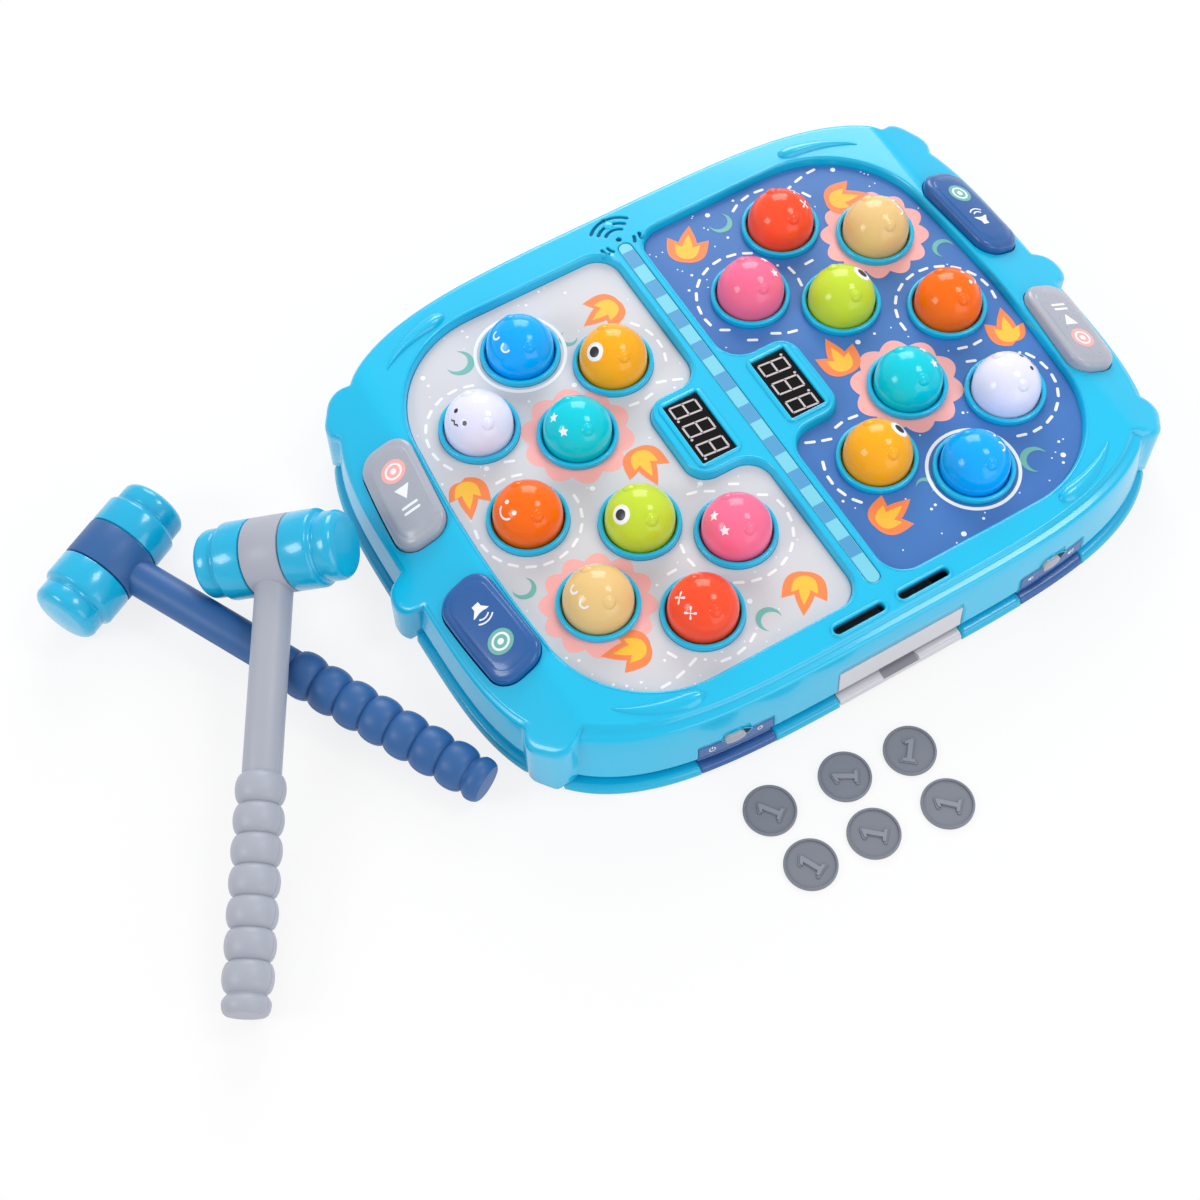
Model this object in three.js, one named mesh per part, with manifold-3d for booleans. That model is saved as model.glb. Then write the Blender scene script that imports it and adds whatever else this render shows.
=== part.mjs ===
// Two-player mole pounding game: a table-top console with eighteen pop-up moles, two score
// displays, four play buttons, a coin drawer, six coins and two soft-headed hammers.
// Millimetres, +Z up. The origin is on the flat underside, at the middle of the console.
// +X runs along the long side, towards the second player, and +Y towards the back.

import * as THREE from 'three';
import { mergeVertices } from 'three/addons/utils/BufferGeometryUtils.js';
import Module from 'manifold-3d';

const wasm = await Module();
wasm.setup();

// Fits and cutting
const GAP = 0.3;              // between pieces that touch or run on each other
const HALF = 0.5;             // a half, used as a factor
const OVERRUN = 30;           // how far a cutting block runs past what it cuts
const SINK = 0.6;             // how far a joined piece sinks into what carries it

// Console outline: |x / halfLength|^n + |y / halfWidth|^n = 1
const HALF_LENGTH = 200.5;
const HALF_WIDTH = 152;
const OUTLINE_POWER = 4;
const OUTLINE_STEPS = 48;
const WALL = 2.5;
const CORE = 80;              // reach of the blocks that divide the console's inside

// Heights above the table
const FLOOR_THICK = 2.5;
const LIP_HEIGHT = 5.6;
const GROOVE_Z = 9;
const FOLD_Z = 12;
const DRAWER_TOP = 27.9;
const WALL_TOP = 41;
const EDGE_Z = 45.5;
const RIM_TOP = 48;
const PLATE_Z = 43;
const SHEET_THICK = 0.4;
const SHEET_GLUE = 0.1;
const DECK_THICK = 2.4;

// How far each level of the side wall lies inside the lip's outline
const LIP_BOTTOM_INSET = 1.5;
const LIP_TOP_INSET = 2.5;
const GROOVE_INSET = 6;
const FOLD_INSET = 3.8;
const FACE_INSET = 5.2;
const WALL_TOP_INSET = 6.8;
const EDGE_INSET = 9.4;
const RIM_INSET = 13.5;
const LIP_ROUND = 1.7;

// Sloping end wings, with the play buttons
const WING_SPAN = 40.5;       // from the crease to the outline
const WING_START = HALF_LENGTH - WING_SPAN;
const WING_SLOPE = THREE.MathUtils.degToRad(25.6);
const BUTTON_WIDTH = 27.3;
const BUTTON_LENGTH = 60;
const BUTTON_CORNER = 10;
const BUTTON_INSET = 26.5;
const BUTTON_X = HALF_LENGTH - BUTTON_INSET;
const BUTTON_SHARE = 0.2928;  // of the half width
const BUTTON_Y = HALF_WIDTH * BUTTON_SHARE;
const BUTTON_YAW = THREE.MathUtils.degToRad(5);
const BUTTON_PROUD = 7;
const BUTTON_TAB = 2.2;
const BUTTON_TAB_HALF = 4;
const BUTTON_TAB_THICK = 2.1;

// Field pockets, drawn for the +X player
const FIELD_INNER = 9;
const FIELD_END_MARGIN = 45.5;
const FIELD_OUTER = HALF_LENGTH - FIELD_END_MARGIN;
const FIELD_BULGE = 3;
const FIELD_SIDE_MARGIN = 29.5;
const FIELD_HALF = HALF_WIDTH - FIELD_SIDE_MARGIN;
const FIELD_OUTER_CORNER = 60;
const FIELD_INNER_CORNER = 14;
const NOTCH_X = 45;
const NOTCH_HALF = 27;
const NOTCH_CORNER = 12;
const NOTCH_FILLET = 14;
const BULGE_STEPS = 4;
const ARC_SAG = 1.1;

// Moles and their collars
const MOLE_RADIUS = 17.7;
const MOLE_SIDES = 12;
const MOLE_WALL = 1.8;
const MOLE_CENTRE_RISE = 5.5;
const MOLE_TRAVEL = 4;
const MOLE_FLANGE_RADIUS = 20.2;
const MOLE_FLANGE_THICK = 1.6;
const EAR_RADIUS = 2.9;
const EAR_PROUD = 1.3;
const EAR_SIDES = 4;
const EAR_ANGLE = THREE.MathUtils.degToRad(38);
const COLLAR_RADIUS = 21;
const COLLAR_BORE = 18.7;
const COLLAR_RISE = 3.2;
const COLLAR_SIDES = 12;

// Mole rows and columns as shares of the field, drawn for the -X player.
// The other field is a half turn of it.
const NEAR_SHARE = 0.2506;
const FAR_SHARE = 0.4865;
const END_SHARE = 0.7331;
const INNER_SHARE = 0.2735;
const MIDDLE_SHARE = 0.5226;
const OUTER_SHARE = 0.7897;
const EDGE_SHARE = 0.8245;
const ROW_NEAR = FIELD_HALF * NEAR_SHARE;
const ROW_FAR = FIELD_HALF * FAR_SHARE;
const ROW_END = FIELD_HALF * END_SHARE;
const COLUMN_INNER = FIELD_OUTER * INNER_SHARE;
const COLUMN_MIDDLE = FIELD_OUTER * MIDDLE_SHARE;
const COLUMN_OUTER = FIELD_OUTER * OUTER_SHARE;
const COLUMN_EDGE = FIELD_OUTER * EDGE_SHARE;

// Score displays and the divider strip
const DISPLAY_X = 26.8;
const WINDOW_WIDTH = 20.5;
const WINDOW_LENGTH = 40;
const DISPLAY_MARGIN = 1.8;
const STRIP_HALF = 3.7;
const STRIP_FRONT_MARGIN = 31.5;
const STRIP_BACK_MARGIN = 31;
const STRIP_FRONT = HALF_WIDTH - STRIP_FRONT_MARGIN;
const STRIP_BACK = HALF_WIDTH - STRIP_BACK_MARGIN;
const STRIP_THICK = 0.8;

// Coin slots, drawer and coins
const SLOT_X = 19;
const SLOT_MARGIN = 18.5;
const SLOT_Y = HALF_WIDTH - SLOT_MARGIN;
const SLOT_LENGTH = 29;
const SLOT_WIDTH = 4.6;
const SLOT_LIP = 2;
const SLOT_LIP_RISE = 1;
const DRAWER_HALF = 37;
const DRAWER_FACE_DEPTH = 10.5;
const DRAWER_FACE_BACK = HALF_WIDTH - DRAWER_FACE_DEPTH;
const DRAWER_BOTTOM = 2.6;
const FRONT_CUT_DEPTH = 13;
const FRONT_CUT_BACK = HALF_WIDTH - FRONT_CUT_DEPTH;
const TRAY_HALF = 33.5;
const TRAY_DEPTH = 53;
const TRAY_BACK = HALF_WIDTH - TRAY_DEPTH;
const TRAY_HEIGHT = 21;
const TRAY_WALL = 1.8;
const RAIL_WIDTH = 2;
const RAIL_HEIGHT = 6;
const RAIL_DEPTH = 90;
const RAIL_BACK = HALF_WIDTH - RAIL_DEPTH;
const NOTCH_FINGER_HALF = 10.8;
const NOTCH_FINGER_DEEP = 4;
const COIN_RADIUS = 13.4;
const COIN_THICK = 2.2;
const COIN_RIM = 1.4;
const COIN_SINK = 0.35;
const COIN_SIDES = 14;

// Switch plates and slide switches on the front
const SWITCH_SHARE = 0.4738;  // of the half length
const SWITCH_X = HALF_LENGTH * SWITCH_SHARE;
const PLATE_REACH = 20.5;
const PLATE_INNER = SWITCH_X - PLATE_REACH;
const PLATE_OUTER = SWITCH_X + PLATE_REACH;
const PLATE_BOTTOM = 0.3;
const PLATE_TOP = 21;
const SWITCH_Z = 21.2;
const SWITCH_SLOT_LENGTH = 15.5;
const SWITCH_SLOT_HEIGHT = 5;
const KNOB_LENGTH = 11;
const KNOB_HEIGHT = 7;
const KNOB_PROUD = 3;
const KNOB_OFFSET = 2;
const SLIDER_LENGTH = 22;
const SLIDER_HEIGHT = 9;
const SLIDER_THICK = 1.5;
const STEM_LENGTH = 9;

// Pads that stand out of the end walls
const PAD_END_INSET = 26.4;
const PAD_SIDE_INSET = 47;
const PAD_CORNER_X = HALF_LENGTH - PAD_END_INSET;
const PAD_CORNER_Y = HALF_WIDTH - PAD_SIDE_INSET;
const PAD_CORNER_TURN = THREE.MathUtils.degToRad(37);
const PAD_CORNER_LENGTH = 27.5;
const PAD_DEPTH = 26;
const PAD_ROUND = 10;
const PAD_MID_INSET = 7.8;
const PAD_MID_X = HALF_LENGTH - PAD_MID_INSET;
const PAD_MID_Y = 0.5;
const PAD_MID_LENGTH = 22;

// Crescent ribs on the rim
const RIB_INNER = 68;
const RIB_OUTER = 75;
const RIB_START = THREE.MathUtils.degToRad(47);
const RIB_END = THREE.MathUtils.degToRad(80);
const RIB_RISE = 1.4;

// Speaker and its grille
const GRILLE_MARGIN = 28;
const GRILLE_Y = HALF_WIDTH - GRILLE_MARGIN;
const GRILLE_HOLE = 1.5;
const GRILLE_RADII = [8, 12.2, 16.4];
const GRILLE_SLOT = 1.6;
const GRILLE_SPAN = THREE.MathUtils.degToRad(42);
const GRILLE_SIDE_SPAN = THREE.MathUtils.degToRad(16);
const GRILLE_SIDE_ANGLE = THREE.MathUtils.degToRad(122);
const SPEAKER_RADIUS = 13.6;
const SPEAKER_RIM_THICK = 5.4;
const SPEAKER_TOP = 39.9;
const SPEAKER_MAGNET_RADIUS = 8;
const SPEAKER_MAGNET_THICK = 5;
const SEAT_WALL = 1.8;
const SEAT_BOTTOM = 34;

// Circuit board, switch mats, coin sensor
const BOARD_EDGE = 10.2;      // past the middles of the outermost moles
const BOARD_HALF_X = COLUMN_EDGE + BOARD_EDGE;
const BOARD_HALF_Y = ROW_END + BOARD_EDGE;
const BOARD_THICK = 1.6;
const MAT_THICK = 1.5;
const MAT_INNER = 22;
const MAT_MARGIN = 2;
const MAT_NOTCH_X = 44;
const MAT_NOTCH_HALF = 25.5;
const DOME_RADIUS = 7;
const DOME_TIP_RADIUS = 4.5;
const DOME_HEIGHT = 3;
const DOME_SIDES = 6;
const SENSOR_HALF = 3.6;
const SENSOR_LENGTH = 10;
const SENSOR_HEIGHT = 8;

// Inner wall of the bottom shell, posts and screws
const UPSTAND_INSET = 9;
const UPSTAND_TOP = 14;
const POST_END_INSET = 54.5;
const POST_SIDE_INSET = 46;
const POST_X = HALF_LENGTH - POST_END_INSET;
const POST_Y = HALF_WIDTH - POST_SIDE_INSET;
const POST_RADIUS = 6.2;
const TOP_POST_RADIUS = 5;
const POST_TOP = 19.7;
const SHOULDER_Z = 14;
const SCREW_HEAD_RADIUS = 3.2;
const SCREW_HEAD_THICK = 2;
const SCREW_RADIUS = 1.5;
const SCREW_LENGTH = 14;
const SCREW_SIDES = 8;
const PILOT_DEPTH = 9;
const BOARD_POST_INSET = 34;
const BOARD_POST_X = BOARD_HALF_X - BOARD_POST_INSET;
const BOARD_POST_Y = 38;
const BOARD_POST_RADIUS = 3.5;

// Battery compartment in the underside
const CELL_LENGTH = 50.5;
const CELL_RADIUS = 7.2;
const CELL_TIP_RADIUS = 2.7;
const CELL_TIP = 1.2;
const CELL_COUNT = 3;
const CELL_PITCH = 14.8;
const CELL_BAY_FRONT = 38;
const BAY_HALF = 27;
const BAY_LENGTH = 45;
const BAY_HEIGHT = 17.8;
const BAY_WALL = 4;
const BAY_ROOF = 1.8;
const BAY_FRONT_WALL = 10;
const COVER_TONGUE = 8.4;
const COVER_THICK = 1.9;
const COVER_LAP = 3;
const COVER_SCREW_LENGTH = 7;

// Hammers: a T-shaped handle with a soft cap on each end of its head
const HEAD_RADIUS = 19.9;
const BAND_HALF = 10.5;
const CAP_MAIN = 26.6;
const CAP_GROOVE = 28.4;
const CAP_GROOVE_RADIUS = 17.4;
const CAP_SHOULDER = 36.4;
const CAP_SHOULDER_RADIUS = 17.5;
const CAP_END = 40.5;
const CAP_END_RADIUS = 12;
const SPIGOT_RADIUS = 9;
const SPIGOT_LENGTH = 12;
const HEAD_SIDES = 16;
const SHAFT_RADIUS = 9.6;
const SHAFT_END = 114;
const BEAD_COUNT = 7;
const BEAD_RADIUS = 12.3;
const NECK_RADIUS = 9.7;
const GRIP_END = 219;
const FLARE_RADIUS = 12.6;
const FLARE_START = 224;
const TIP_END = 229.6;
const TIP_RADIUS = 10;
const HANDLE_SIDES = 12;

// Where the hammers lie
const NAVY_OFF = 115.3;       // from the console's end to the middle of the head
const NAVY_X = -HALF_LENGTH - NAVY_OFF;
const NAVY_Y = 100.9;
const NAVY_YAW = THREE.MathUtils.degToRad(27.4);
const GREY_OFF = 44.2;
const GREY_X = -HALF_LENGTH - GREY_OFF;
const GREY_Y = 47.8;
const REST_STEPS = 8;
const GREY_YAW = THREE.MathUtils.degToRad(-31.2);
const GREY_ROLL = THREE.MathUtils.degToRad(-21.3);

// Where the coins lie: two rows of three, as the place along the console and the distance in front of it
const COIN_PLACES = [
  [-97.5, 28.6], [-56.2, 32.4], [-20.9, 37.2],
  [-95.9, 62.2], [-60.9, 64.5], [-21.2, 70],
];

const COLOURS = {
  shell: 0x2cb9dd, base: 0x27a9cf, greySheet: 0xcfcfd3, blueSheet: 0x4f7cc0,
  strip: 0x74c3dd, grey: 0xa9aeb9, navy: 0x3a66a3, display: 0x15161a, coin: 0x7b7f89,
  cap: 0x35c3e6, board: 0x1f6b3a, mat: 0xd8d8d8, metal: 0xb9bcc0, dark: 0x26282c, cell: 0x3c3f46,
};

const MOLES = [
  ['blue', COLUMN_MIDDLE, ROW_END, 0x0a8ffb],
  ['amber', COLUMN_INNER, ROW_FAR, 0xf9a424],
  ['white', COLUMN_OUTER, ROW_FAR, 0xe5e6fc],
  ['teal', COLUMN_MIDDLE, ROW_NEAR, 0x12cfdc],
  ['orange', COLUMN_EDGE, 0, 0xff6a10],
  ['green', COLUMN_MIDDLE, -ROW_NEAR, 0xc0dc40],
  ['pink', COLUMN_INNER, -ROW_FAR, 0xfc759e],
  ['tan', COLUMN_OUTER, -ROW_FAR, 0xeac48a],
  ['red', COLUMN_MIDDLE, -ROW_END, 0xff5530],
];

// A closed geometry as a solid that can be joined and cut
function solid(geometry) {
  const bare = geometry.clone();
  bare.deleteAttribute('normal');
  bare.deleteAttribute('uv');
  const merged = mergeVertices(bare);
  return new wasm.Manifold(new wasm.Mesh({
    numProp: 3,
    vertProperties: new Float32Array(merged.attributes.position.array),
    triVerts: new Uint32Array(merged.index.array),
  }));
}

function geometryOf(body) {
  const mesh = body.getMesh();
  const geometry = new THREE.BufferGeometry();
  geometry.setAttribute('position', new THREE.BufferAttribute(mesh.vertProperties, mesh.numProp));
  geometry.setIndex(new THREE.BufferAttribute(mesh.triVerts, 1));
  geometry.computeVertexNormals();
  return geometry;
}

const join = (first, ...rest) => rest.reduce((sum, next) => sum.add(next), first);
const cut = (first, ...rest) => rest.reduce((left, next) => left.subtract(next), first);

function prism(shape, bottom, top, curveSegments = 5) {
  const options = { depth: top - bottom, bevelEnabled: false, curveSegments };
  return solid(new THREE.ExtrudeGeometry(shape, options).translate(0, 0, bottom));
}

function block(x0, x1, y0, y1, z0, z1) {
  const box = new THREE.BoxGeometry(x1 - x0, y1 - y0, z1 - z0);
  return solid(box.translate((x0 + x1) * HALF, (y0 + y1) * HALF, (z0 + z1) * HALF));
}

// An upright cylinder or cone between two heights
function post(x, y, radius, bottom, top, sides, topRadius = radius) {
  const cylinder = new THREE.CylinderGeometry(topRadius, radius, top - bottom, sides);
  return solid(cylinder.rotateX(Math.PI / 2).translate(x, y, (bottom + top) * HALF));
}

// A turned solid about Z, from [radius, height] points that start and end on the axis
function turned(points, sides) {
  const profile = points.map(([radius, height]) => new THREE.Vector2(radius, height));
  return new THREE.LatheGeometry(profile, sides).rotateX(Math.PI / 2);
}

function roundedShape(halfX, halfY, radius) {
  const shape = new THREE.Shape();
  shape.moveTo(-halfX + radius, -halfY);
  shape.absarc(halfX - radius, -halfY + radius, radius, -Math.PI / 2, 0);
  shape.absarc(halfX - radius, halfY - radius, radius, 0, Math.PI / 2);
  shape.absarc(-halfX + radius, halfY - radius, radius, Math.PI / 2, Math.PI);
  shape.absarc(-halfX + radius, -halfY + radius, radius, Math.PI, Math.PI * 3 / 2);
  return shape;
}

function turn(body, angle) {
  return body.rotate([0, 0, THREE.MathUtils.radToDeg(angle)]);
}

const halfTurn = (body) => turn(body, Math.PI);

// The console's outline at one level, as points
function ring(inset, z) {
  const points = [];
  for (let i = 0; i < OUTLINE_STEPS; i += 1) {
    const angle = (i / OUTLINE_STEPS) * Math.PI * 2;
    const share = 2 / OUTLINE_POWER;
    const x = Math.sign(Math.cos(angle)) * Math.abs(Math.cos(angle)) ** share;
    const y = Math.sign(Math.sin(angle)) * Math.abs(Math.sin(angle)) ** share;
    points.push([(HALF_LENGTH - inset) * x, (HALF_WIDTH - inset) * y, z]);
  }
  return points;
}

// A closed solid through [inset, height] levels, from the bottom up
function loft(levels) {
  const rings = levels.map(([inset, z]) => ring(inset, z));
  const positions = rings.flat(2);
  const index = [];
  const count = OUTLINE_STEPS;
  for (let level = 0; level + 1 < rings.length; level += 1) {
    for (let i = 0; i < count; i += 1) {
      const next = (i + 1) % count;
      const low = level * count;
      const high = low + count;
      index.push(low + i, low + next, high + next, low + i, high + next, high + i);
    }
  }
  const top = (rings.length - 1) * count;
  for (let i = 1; i + 1 < count; i += 1) {
    index.push(0, i + 1, i, top, top + i, top + i + 1);
  }
  const geometry = new THREE.BufferGeometry();
  geometry.setAttribute('position', new THREE.Float32BufferAttribute(positions, 3));
  geometry.setIndex(index);
  return solid(geometry);
}

// Everything below the rim and the sloping wings, moved up or down by an offset
function underRoof(offset) {
  const reach = HALF_LENGTH + OVERRUN;
  const outerZ = RIM_TOP - (reach - WING_START) * Math.tan(WING_SLOPE) + offset;
  const profile = new THREE.Shape();
  profile.moveTo(-reach, -OVERRUN - CORE);
  profile.lineTo(reach, -OVERRUN - CORE);
  profile.lineTo(reach, outerZ);
  profile.lineTo(WING_START, RIM_TOP + offset);
  profile.lineTo(-WING_START, RIM_TOP + offset);
  profile.lineTo(-reach, outerZ);
  const span = HALF_WIDTH + OVERRUN;
  const geometry = new THREE.ExtrudeGeometry(profile, { depth: span * 2, bevelEnabled: false });
  return solid(geometry.rotateX(Math.PI / 2).translate(0, span, 0));
}

// Adds an arc to a shape, in steps that stay within the sag allowed
function addArc(shape, x, y, radius, from, to) {
  const step = 2 * Math.acos(1 - ARC_SAG / radius);
  const count = Math.max(2, Math.ceil(Math.abs(to - from) / step));
  for (let i = 0; i <= count; i += 1) {
    const angle = from + ((to - from) * i) / count;
    shape.lineTo(x + radius * Math.cos(angle), y + radius * Math.sin(angle));
  }
}

// Adds the field's bulging outer side, from front to back
function addBulge(shape, x, half) {
  for (let i = 1; i < BULGE_STEPS; i += 1) {
    const share = (2 * i) / BULGE_STEPS - 1;
    shape.lineTo(x + FIELD_BULGE * (1 - share ** 2), half * share);
  }
}

// The +X player's field outline, grown by a margin
function fieldShape(grow) {
  const inner = FIELD_INNER - grow;
  const outer = FIELD_OUTER + grow;
  const half = FIELD_HALF + grow;
  const big = FIELD_OUTER_CORNER + grow;
  const small = FIELD_INNER_CORNER + grow;
  const notchX = NOTCH_X - grow;
  const notchHalf = NOTCH_HALF - grow;
  const notchCorner = NOTCH_CORNER - grow;
  const fillet = NOTCH_FILLET + grow;
  const quarter = Math.PI / 2;
  const shape = new THREE.Shape();
  shape.moveTo(inner + small, -half);
  addArc(shape, outer - big, -half + big, big, -quarter, 0);
  addBulge(shape, outer, half - big);
  addArc(shape, outer - big, half - big, big, 0, quarter);
  addArc(shape, inner + small, half - small, small, quarter, Math.PI);
  addArc(shape, inner + fillet, notchHalf + fillet, fillet, Math.PI, quarter * 3);
  addArc(shape, notchX - notchCorner, notchHalf - notchCorner, notchCorner, quarter, 0);
  addArc(shape, notchX - notchCorner, -notchHalf + notchCorner, notchCorner, 0, -quarter);
  addArc(shape, inner + fillet, -notchHalf - fillet, fillet, quarter, Math.PI);
  addArc(shape, inner + small, -half + small, small, Math.PI, quarter * 3);
  return shape;
}

// Each mole's colour and place, for both players
function molePlaces() {
  return ['left', 'right'].flatMap((word) => {
    const side = word === 'right' ? 1 : -1;
    return MOLES.map(([name, x, y, colour]) => (
      { name: `mole_${word}_${name}`, x: side * x, y: -side * y, colour, side }
    ));
  });
}

const recessFloor = PLATE_Z - SHEET_THICK - SHEET_GLUE;
const deckBottom = recessFloor - DECK_THICK;

const OUTER_LEVELS = [
  [GROOVE_INSET, LIP_HEIGHT + GAP],
  [GROOVE_INSET, GROOVE_Z],
  [FOLD_INSET, FOLD_Z],
  [FACE_INSET, DRAWER_TOP],
  [WALL_TOP_INSET, WALL_TOP],
  [EDGE_INSET, EDGE_Z],
  [RIM_INSET, RIM_TOP],
];

const LIP_LEVELS = [
  [LIP_BOTTOM_INSET, 0],
  [0, LIP_ROUND],
  [LIP_BOTTOM_INSET, LIP_HEIGHT - LIP_ROUND * HALF],
  [LIP_TOP_INSET, LIP_HEIGHT],
];

const INNER_LEVELS = [
  [GROOVE_INSET + WALL, -OVERRUN],
  [GROOVE_INSET + WALL, GROOVE_Z],
  [FOLD_INSET + WALL, FOLD_Z],
  [WALL_TOP_INSET + WALL, WALL_TOP],
  [EDGE_INSET + WALL, EDGE_Z],
];

// Both sunken fields with their walls, as they show from below
function fieldTubs() {
  const tub = prism(fieldShape(WALL), deckBottom, RIM_TOP + OVERRUN);
  return join(tub, halfTurn(tub));
}

// The hollow inside the wall, up to the underside of the rim
function shellCavity() {
  return cut(loft(INNER_LEVELS).intersect(underRoof(-WALL)), fieldTubs());
}

// Rounded pads that stand out of the end walls, grown by a margin
function pads(grow, bottom) {
  const depth = PAD_DEPTH * HALF + grow;
  const corner = roundedShape(depth, PAD_CORNER_LENGTH * HALF + grow, PAD_ROUND + grow);
  const middle = roundedShape(depth, PAD_MID_LENGTH * HALF + grow, PAD_ROUND + grow);
  const cornerPad = prism(corner, bottom, RIM_TOP, 2);
  const middlePad = prism(middle, bottom, RIM_TOP, 2);
  const right = join(
    turn(cornerPad, PAD_CORNER_TURN).translate([PAD_CORNER_X, PAD_CORNER_Y, 0]),
    turn(cornerPad, -PAD_CORNER_TURN).translate([PAD_CORNER_X, -PAD_CORNER_Y, 0]),
    middlePad.translate([PAD_MID_X, -PAD_MID_Y, 0]),
  );
  return join(right, halfTurn(right));
}

// The rectangular cut in the front that a drawer face or switch plate fills
function frontBlock(x0, x1, z0, z1, grow) {
  const front = -HALF_WIDTH - OVERRUN;
  return block(x0 - grow, x1 + grow, front, -FRONT_CUT_BACK + grow, z0 - grow, z1 + grow);
}

function frontCuts(grow) {
  return join(
    frontBlock(-DRAWER_HALF, DRAWER_HALF, DRAWER_BOTTOM - CORE, DRAWER_TOP, grow),
    frontBlock(PLATE_INNER, PLATE_OUTER, PLATE_BOTTOM - CORE, PLATE_TOP, grow),
    frontBlock(-PLATE_OUTER, -PLATE_INNER, PLATE_BOTTOM - CORE, PLATE_TOP, grow),
  );
}

// Where the front wall lies at a height and a distance from the middle, and how it turns
function frontWall(x, z) {
  const [low, high] = [OUTER_LEVELS[2], OUTER_LEVELS[3]];
  const inset = low[0] + (high[0] - low[0]) * ((z - low[1]) / (high[1] - low[1]));
  const share = (x / (HALF_LENGTH - inset)) ** OUTLINE_POWER;
  const y = (HALF_WIDTH - inset) * (1 - share) ** (1 / OUTLINE_POWER);
  const yaw = Math.atan((share * y) / (x * (1 - share)));
  return { y, yaw };
}

// Moves a solid drawn for the +X switch, facing -Y, to its place on the front wall
function atSwitch(body, side) {
  const { y, yaw } = frontWall(SWITCH_X, SWITCH_Z);
  return turn(body, side * yaw).translate([side * SWITCH_X, -y, SWITCH_Z]);
}

function switchSlot(side) {
  const halfLength = SWITCH_SLOT_LENGTH * HALF;
  const halfHeight = SWITCH_SLOT_HEIGHT * HALF;
  return atSwitch(block(-halfLength, halfLength, -WALL * 3, WALL * 3, -halfHeight, halfHeight), side);
}

function slotShape(grow) {
  const half = SLOT_WIDTH * HALF + grow;
  return roundedShape(SLOT_LENGTH * HALF + grow, half, half - SINK * HALF);
}

function arcSlot(radius, middle, span) {
  const shape = new THREE.Shape();
  const outer = radius + GRILLE_SLOT * HALF;
  const inner = radius - GRILLE_SLOT * HALF;
  shape.absarc(0, 0, outer, middle - span, middle + span);
  shape.absarc(0, 0, inner, middle + span, middle - span, true);
  return prism(shape, RIM_TOP - WALL - SINK, RIM_TOP + OVERRUN, 2).translate([0, GRILLE_Y, 0]);
}

// The speaker's round hole and its arcs of slots
function grille() {
  const cuts = [post(0, GRILLE_Y, GRILLE_HOLE, RIM_TOP - WALL - SINK, RIM_TOP + OVERRUN, COLLAR_SIDES)];
  for (const radius of GRILLE_RADII) cuts.push(arcSlot(radius, Math.PI / 2, GRILLE_SPAN));
  for (const radius of GRILLE_RADII.slice(0, 2)) {
    cuts.push(arcSlot(radius, Math.PI / 2 + GRILLE_SIDE_ANGLE, GRILLE_SIDE_SPAN));
    cuts.push(arcSlot(radius, Math.PI / 2 - GRILLE_SIDE_ANGLE, GRILLE_SIDE_SPAN));
  }
  return cuts;
}

function stripShape(grow) {
  const length = (STRIP_FRONT + STRIP_BACK) * HALF + grow;
  return roundedShape(STRIP_HALF + grow, length, STRIP_HALF + grow - SINK * HALF);
}

const stripMiddle = (STRIP_BACK - STRIP_FRONT) * HALF;

function speakerSeat() {
  const bored = SPEAKER_RADIUS + GAP;
  const tube = post(0, GRILLE_Y, bored + SEAT_WALL, SEAT_BOTTOM, RIM_TOP - SINK, COLLAR_SIDES);
  const bore = post(0, GRILLE_Y, bored, SEAT_BOTTOM - SINK, RIM_TOP - WALL, COLLAR_SIDES);
  return cut(tube, bore, fieldTubs());
}

function corners(x, y) {
  return [[x, y], [-x, y], [-x, -y], [x, -y]];
}

function topPosts() {
  return corners(POST_X, POST_Y).map(([x, y]) => cut(
    post(x, y, TOP_POST_RADIUS, POST_TOP + GAP, RIM_TOP - SINK, SCREW_SIDES),
    post(x, y, SCREW_RADIUS + GAP, POST_TOP - SINK, POST_TOP + GAP + PILOT_DEPTH, SCREW_SIDES),
  ));
}

// A raised crescent near one rim corner
function rib() {
  const middle = (RIB_START + RIB_END) * HALF;
  const radius = (RIB_INNER + RIB_OUTER) * HALF;
  const shape = new THREE.Shape();
  shape.moveTo(radius * Math.cos(RIB_START), radius * Math.sin(RIB_START));
  shape.quadraticCurveTo(
    RIB_INNER * Math.cos(middle), RIB_INNER * Math.sin(middle),
    RIB_INNER * Math.cos(RIB_END), RIB_INNER * Math.sin(RIB_END),
  );
  shape.lineTo(radius * Math.cos(RIB_END), radius * Math.sin(RIB_END));
  shape.quadraticCurveTo(
    RIB_OUTER * Math.cos(middle), RIB_OUTER * Math.sin(middle),
    radius * Math.cos(RIB_START), radius * Math.sin(RIB_START),
  );
  const body = prism(shape, RIM_TOP - SINK, RIM_TOP + RIB_RISE, 4);
  return body.translate([FIELD_OUTER - FIELD_OUTER_CORNER, FIELD_HALF - FIELD_OUTER_CORNER, 0]);
}

function ribs() {
  const right = rib();
  const back = join(right, right.mirror([1, 0, 0]));
  return join(back, back.mirror([0, 1, 0]));
}

// A slab parallel to one wing, between two heights measured straight up from the wing
function wingSlab(side, low, high) {
  const inner = WING_START - OVERRUN;
  const outer = HALF_LENGTH + OVERRUN;
  const rise = OVERRUN * Math.tan(WING_SLOPE);
  const fall = (outer - WING_START) * Math.tan(WING_SLOPE);
  const profile = new THREE.Shape();
  profile.moveTo(side * inner, RIM_TOP + rise + low);
  profile.lineTo(side * outer, RIM_TOP - fall + low);
  profile.lineTo(side * outer, RIM_TOP - fall + high);
  profile.lineTo(side * inner, RIM_TOP + rise + high);
  const geometry = new THREE.ExtrudeGeometry(profile, { depth: HALF_WIDTH * 2, bevelEnabled: false });
  return solid(geometry.rotateX(Math.PI / 2).translate(0, HALF_WIDTH, 0));
}

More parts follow.
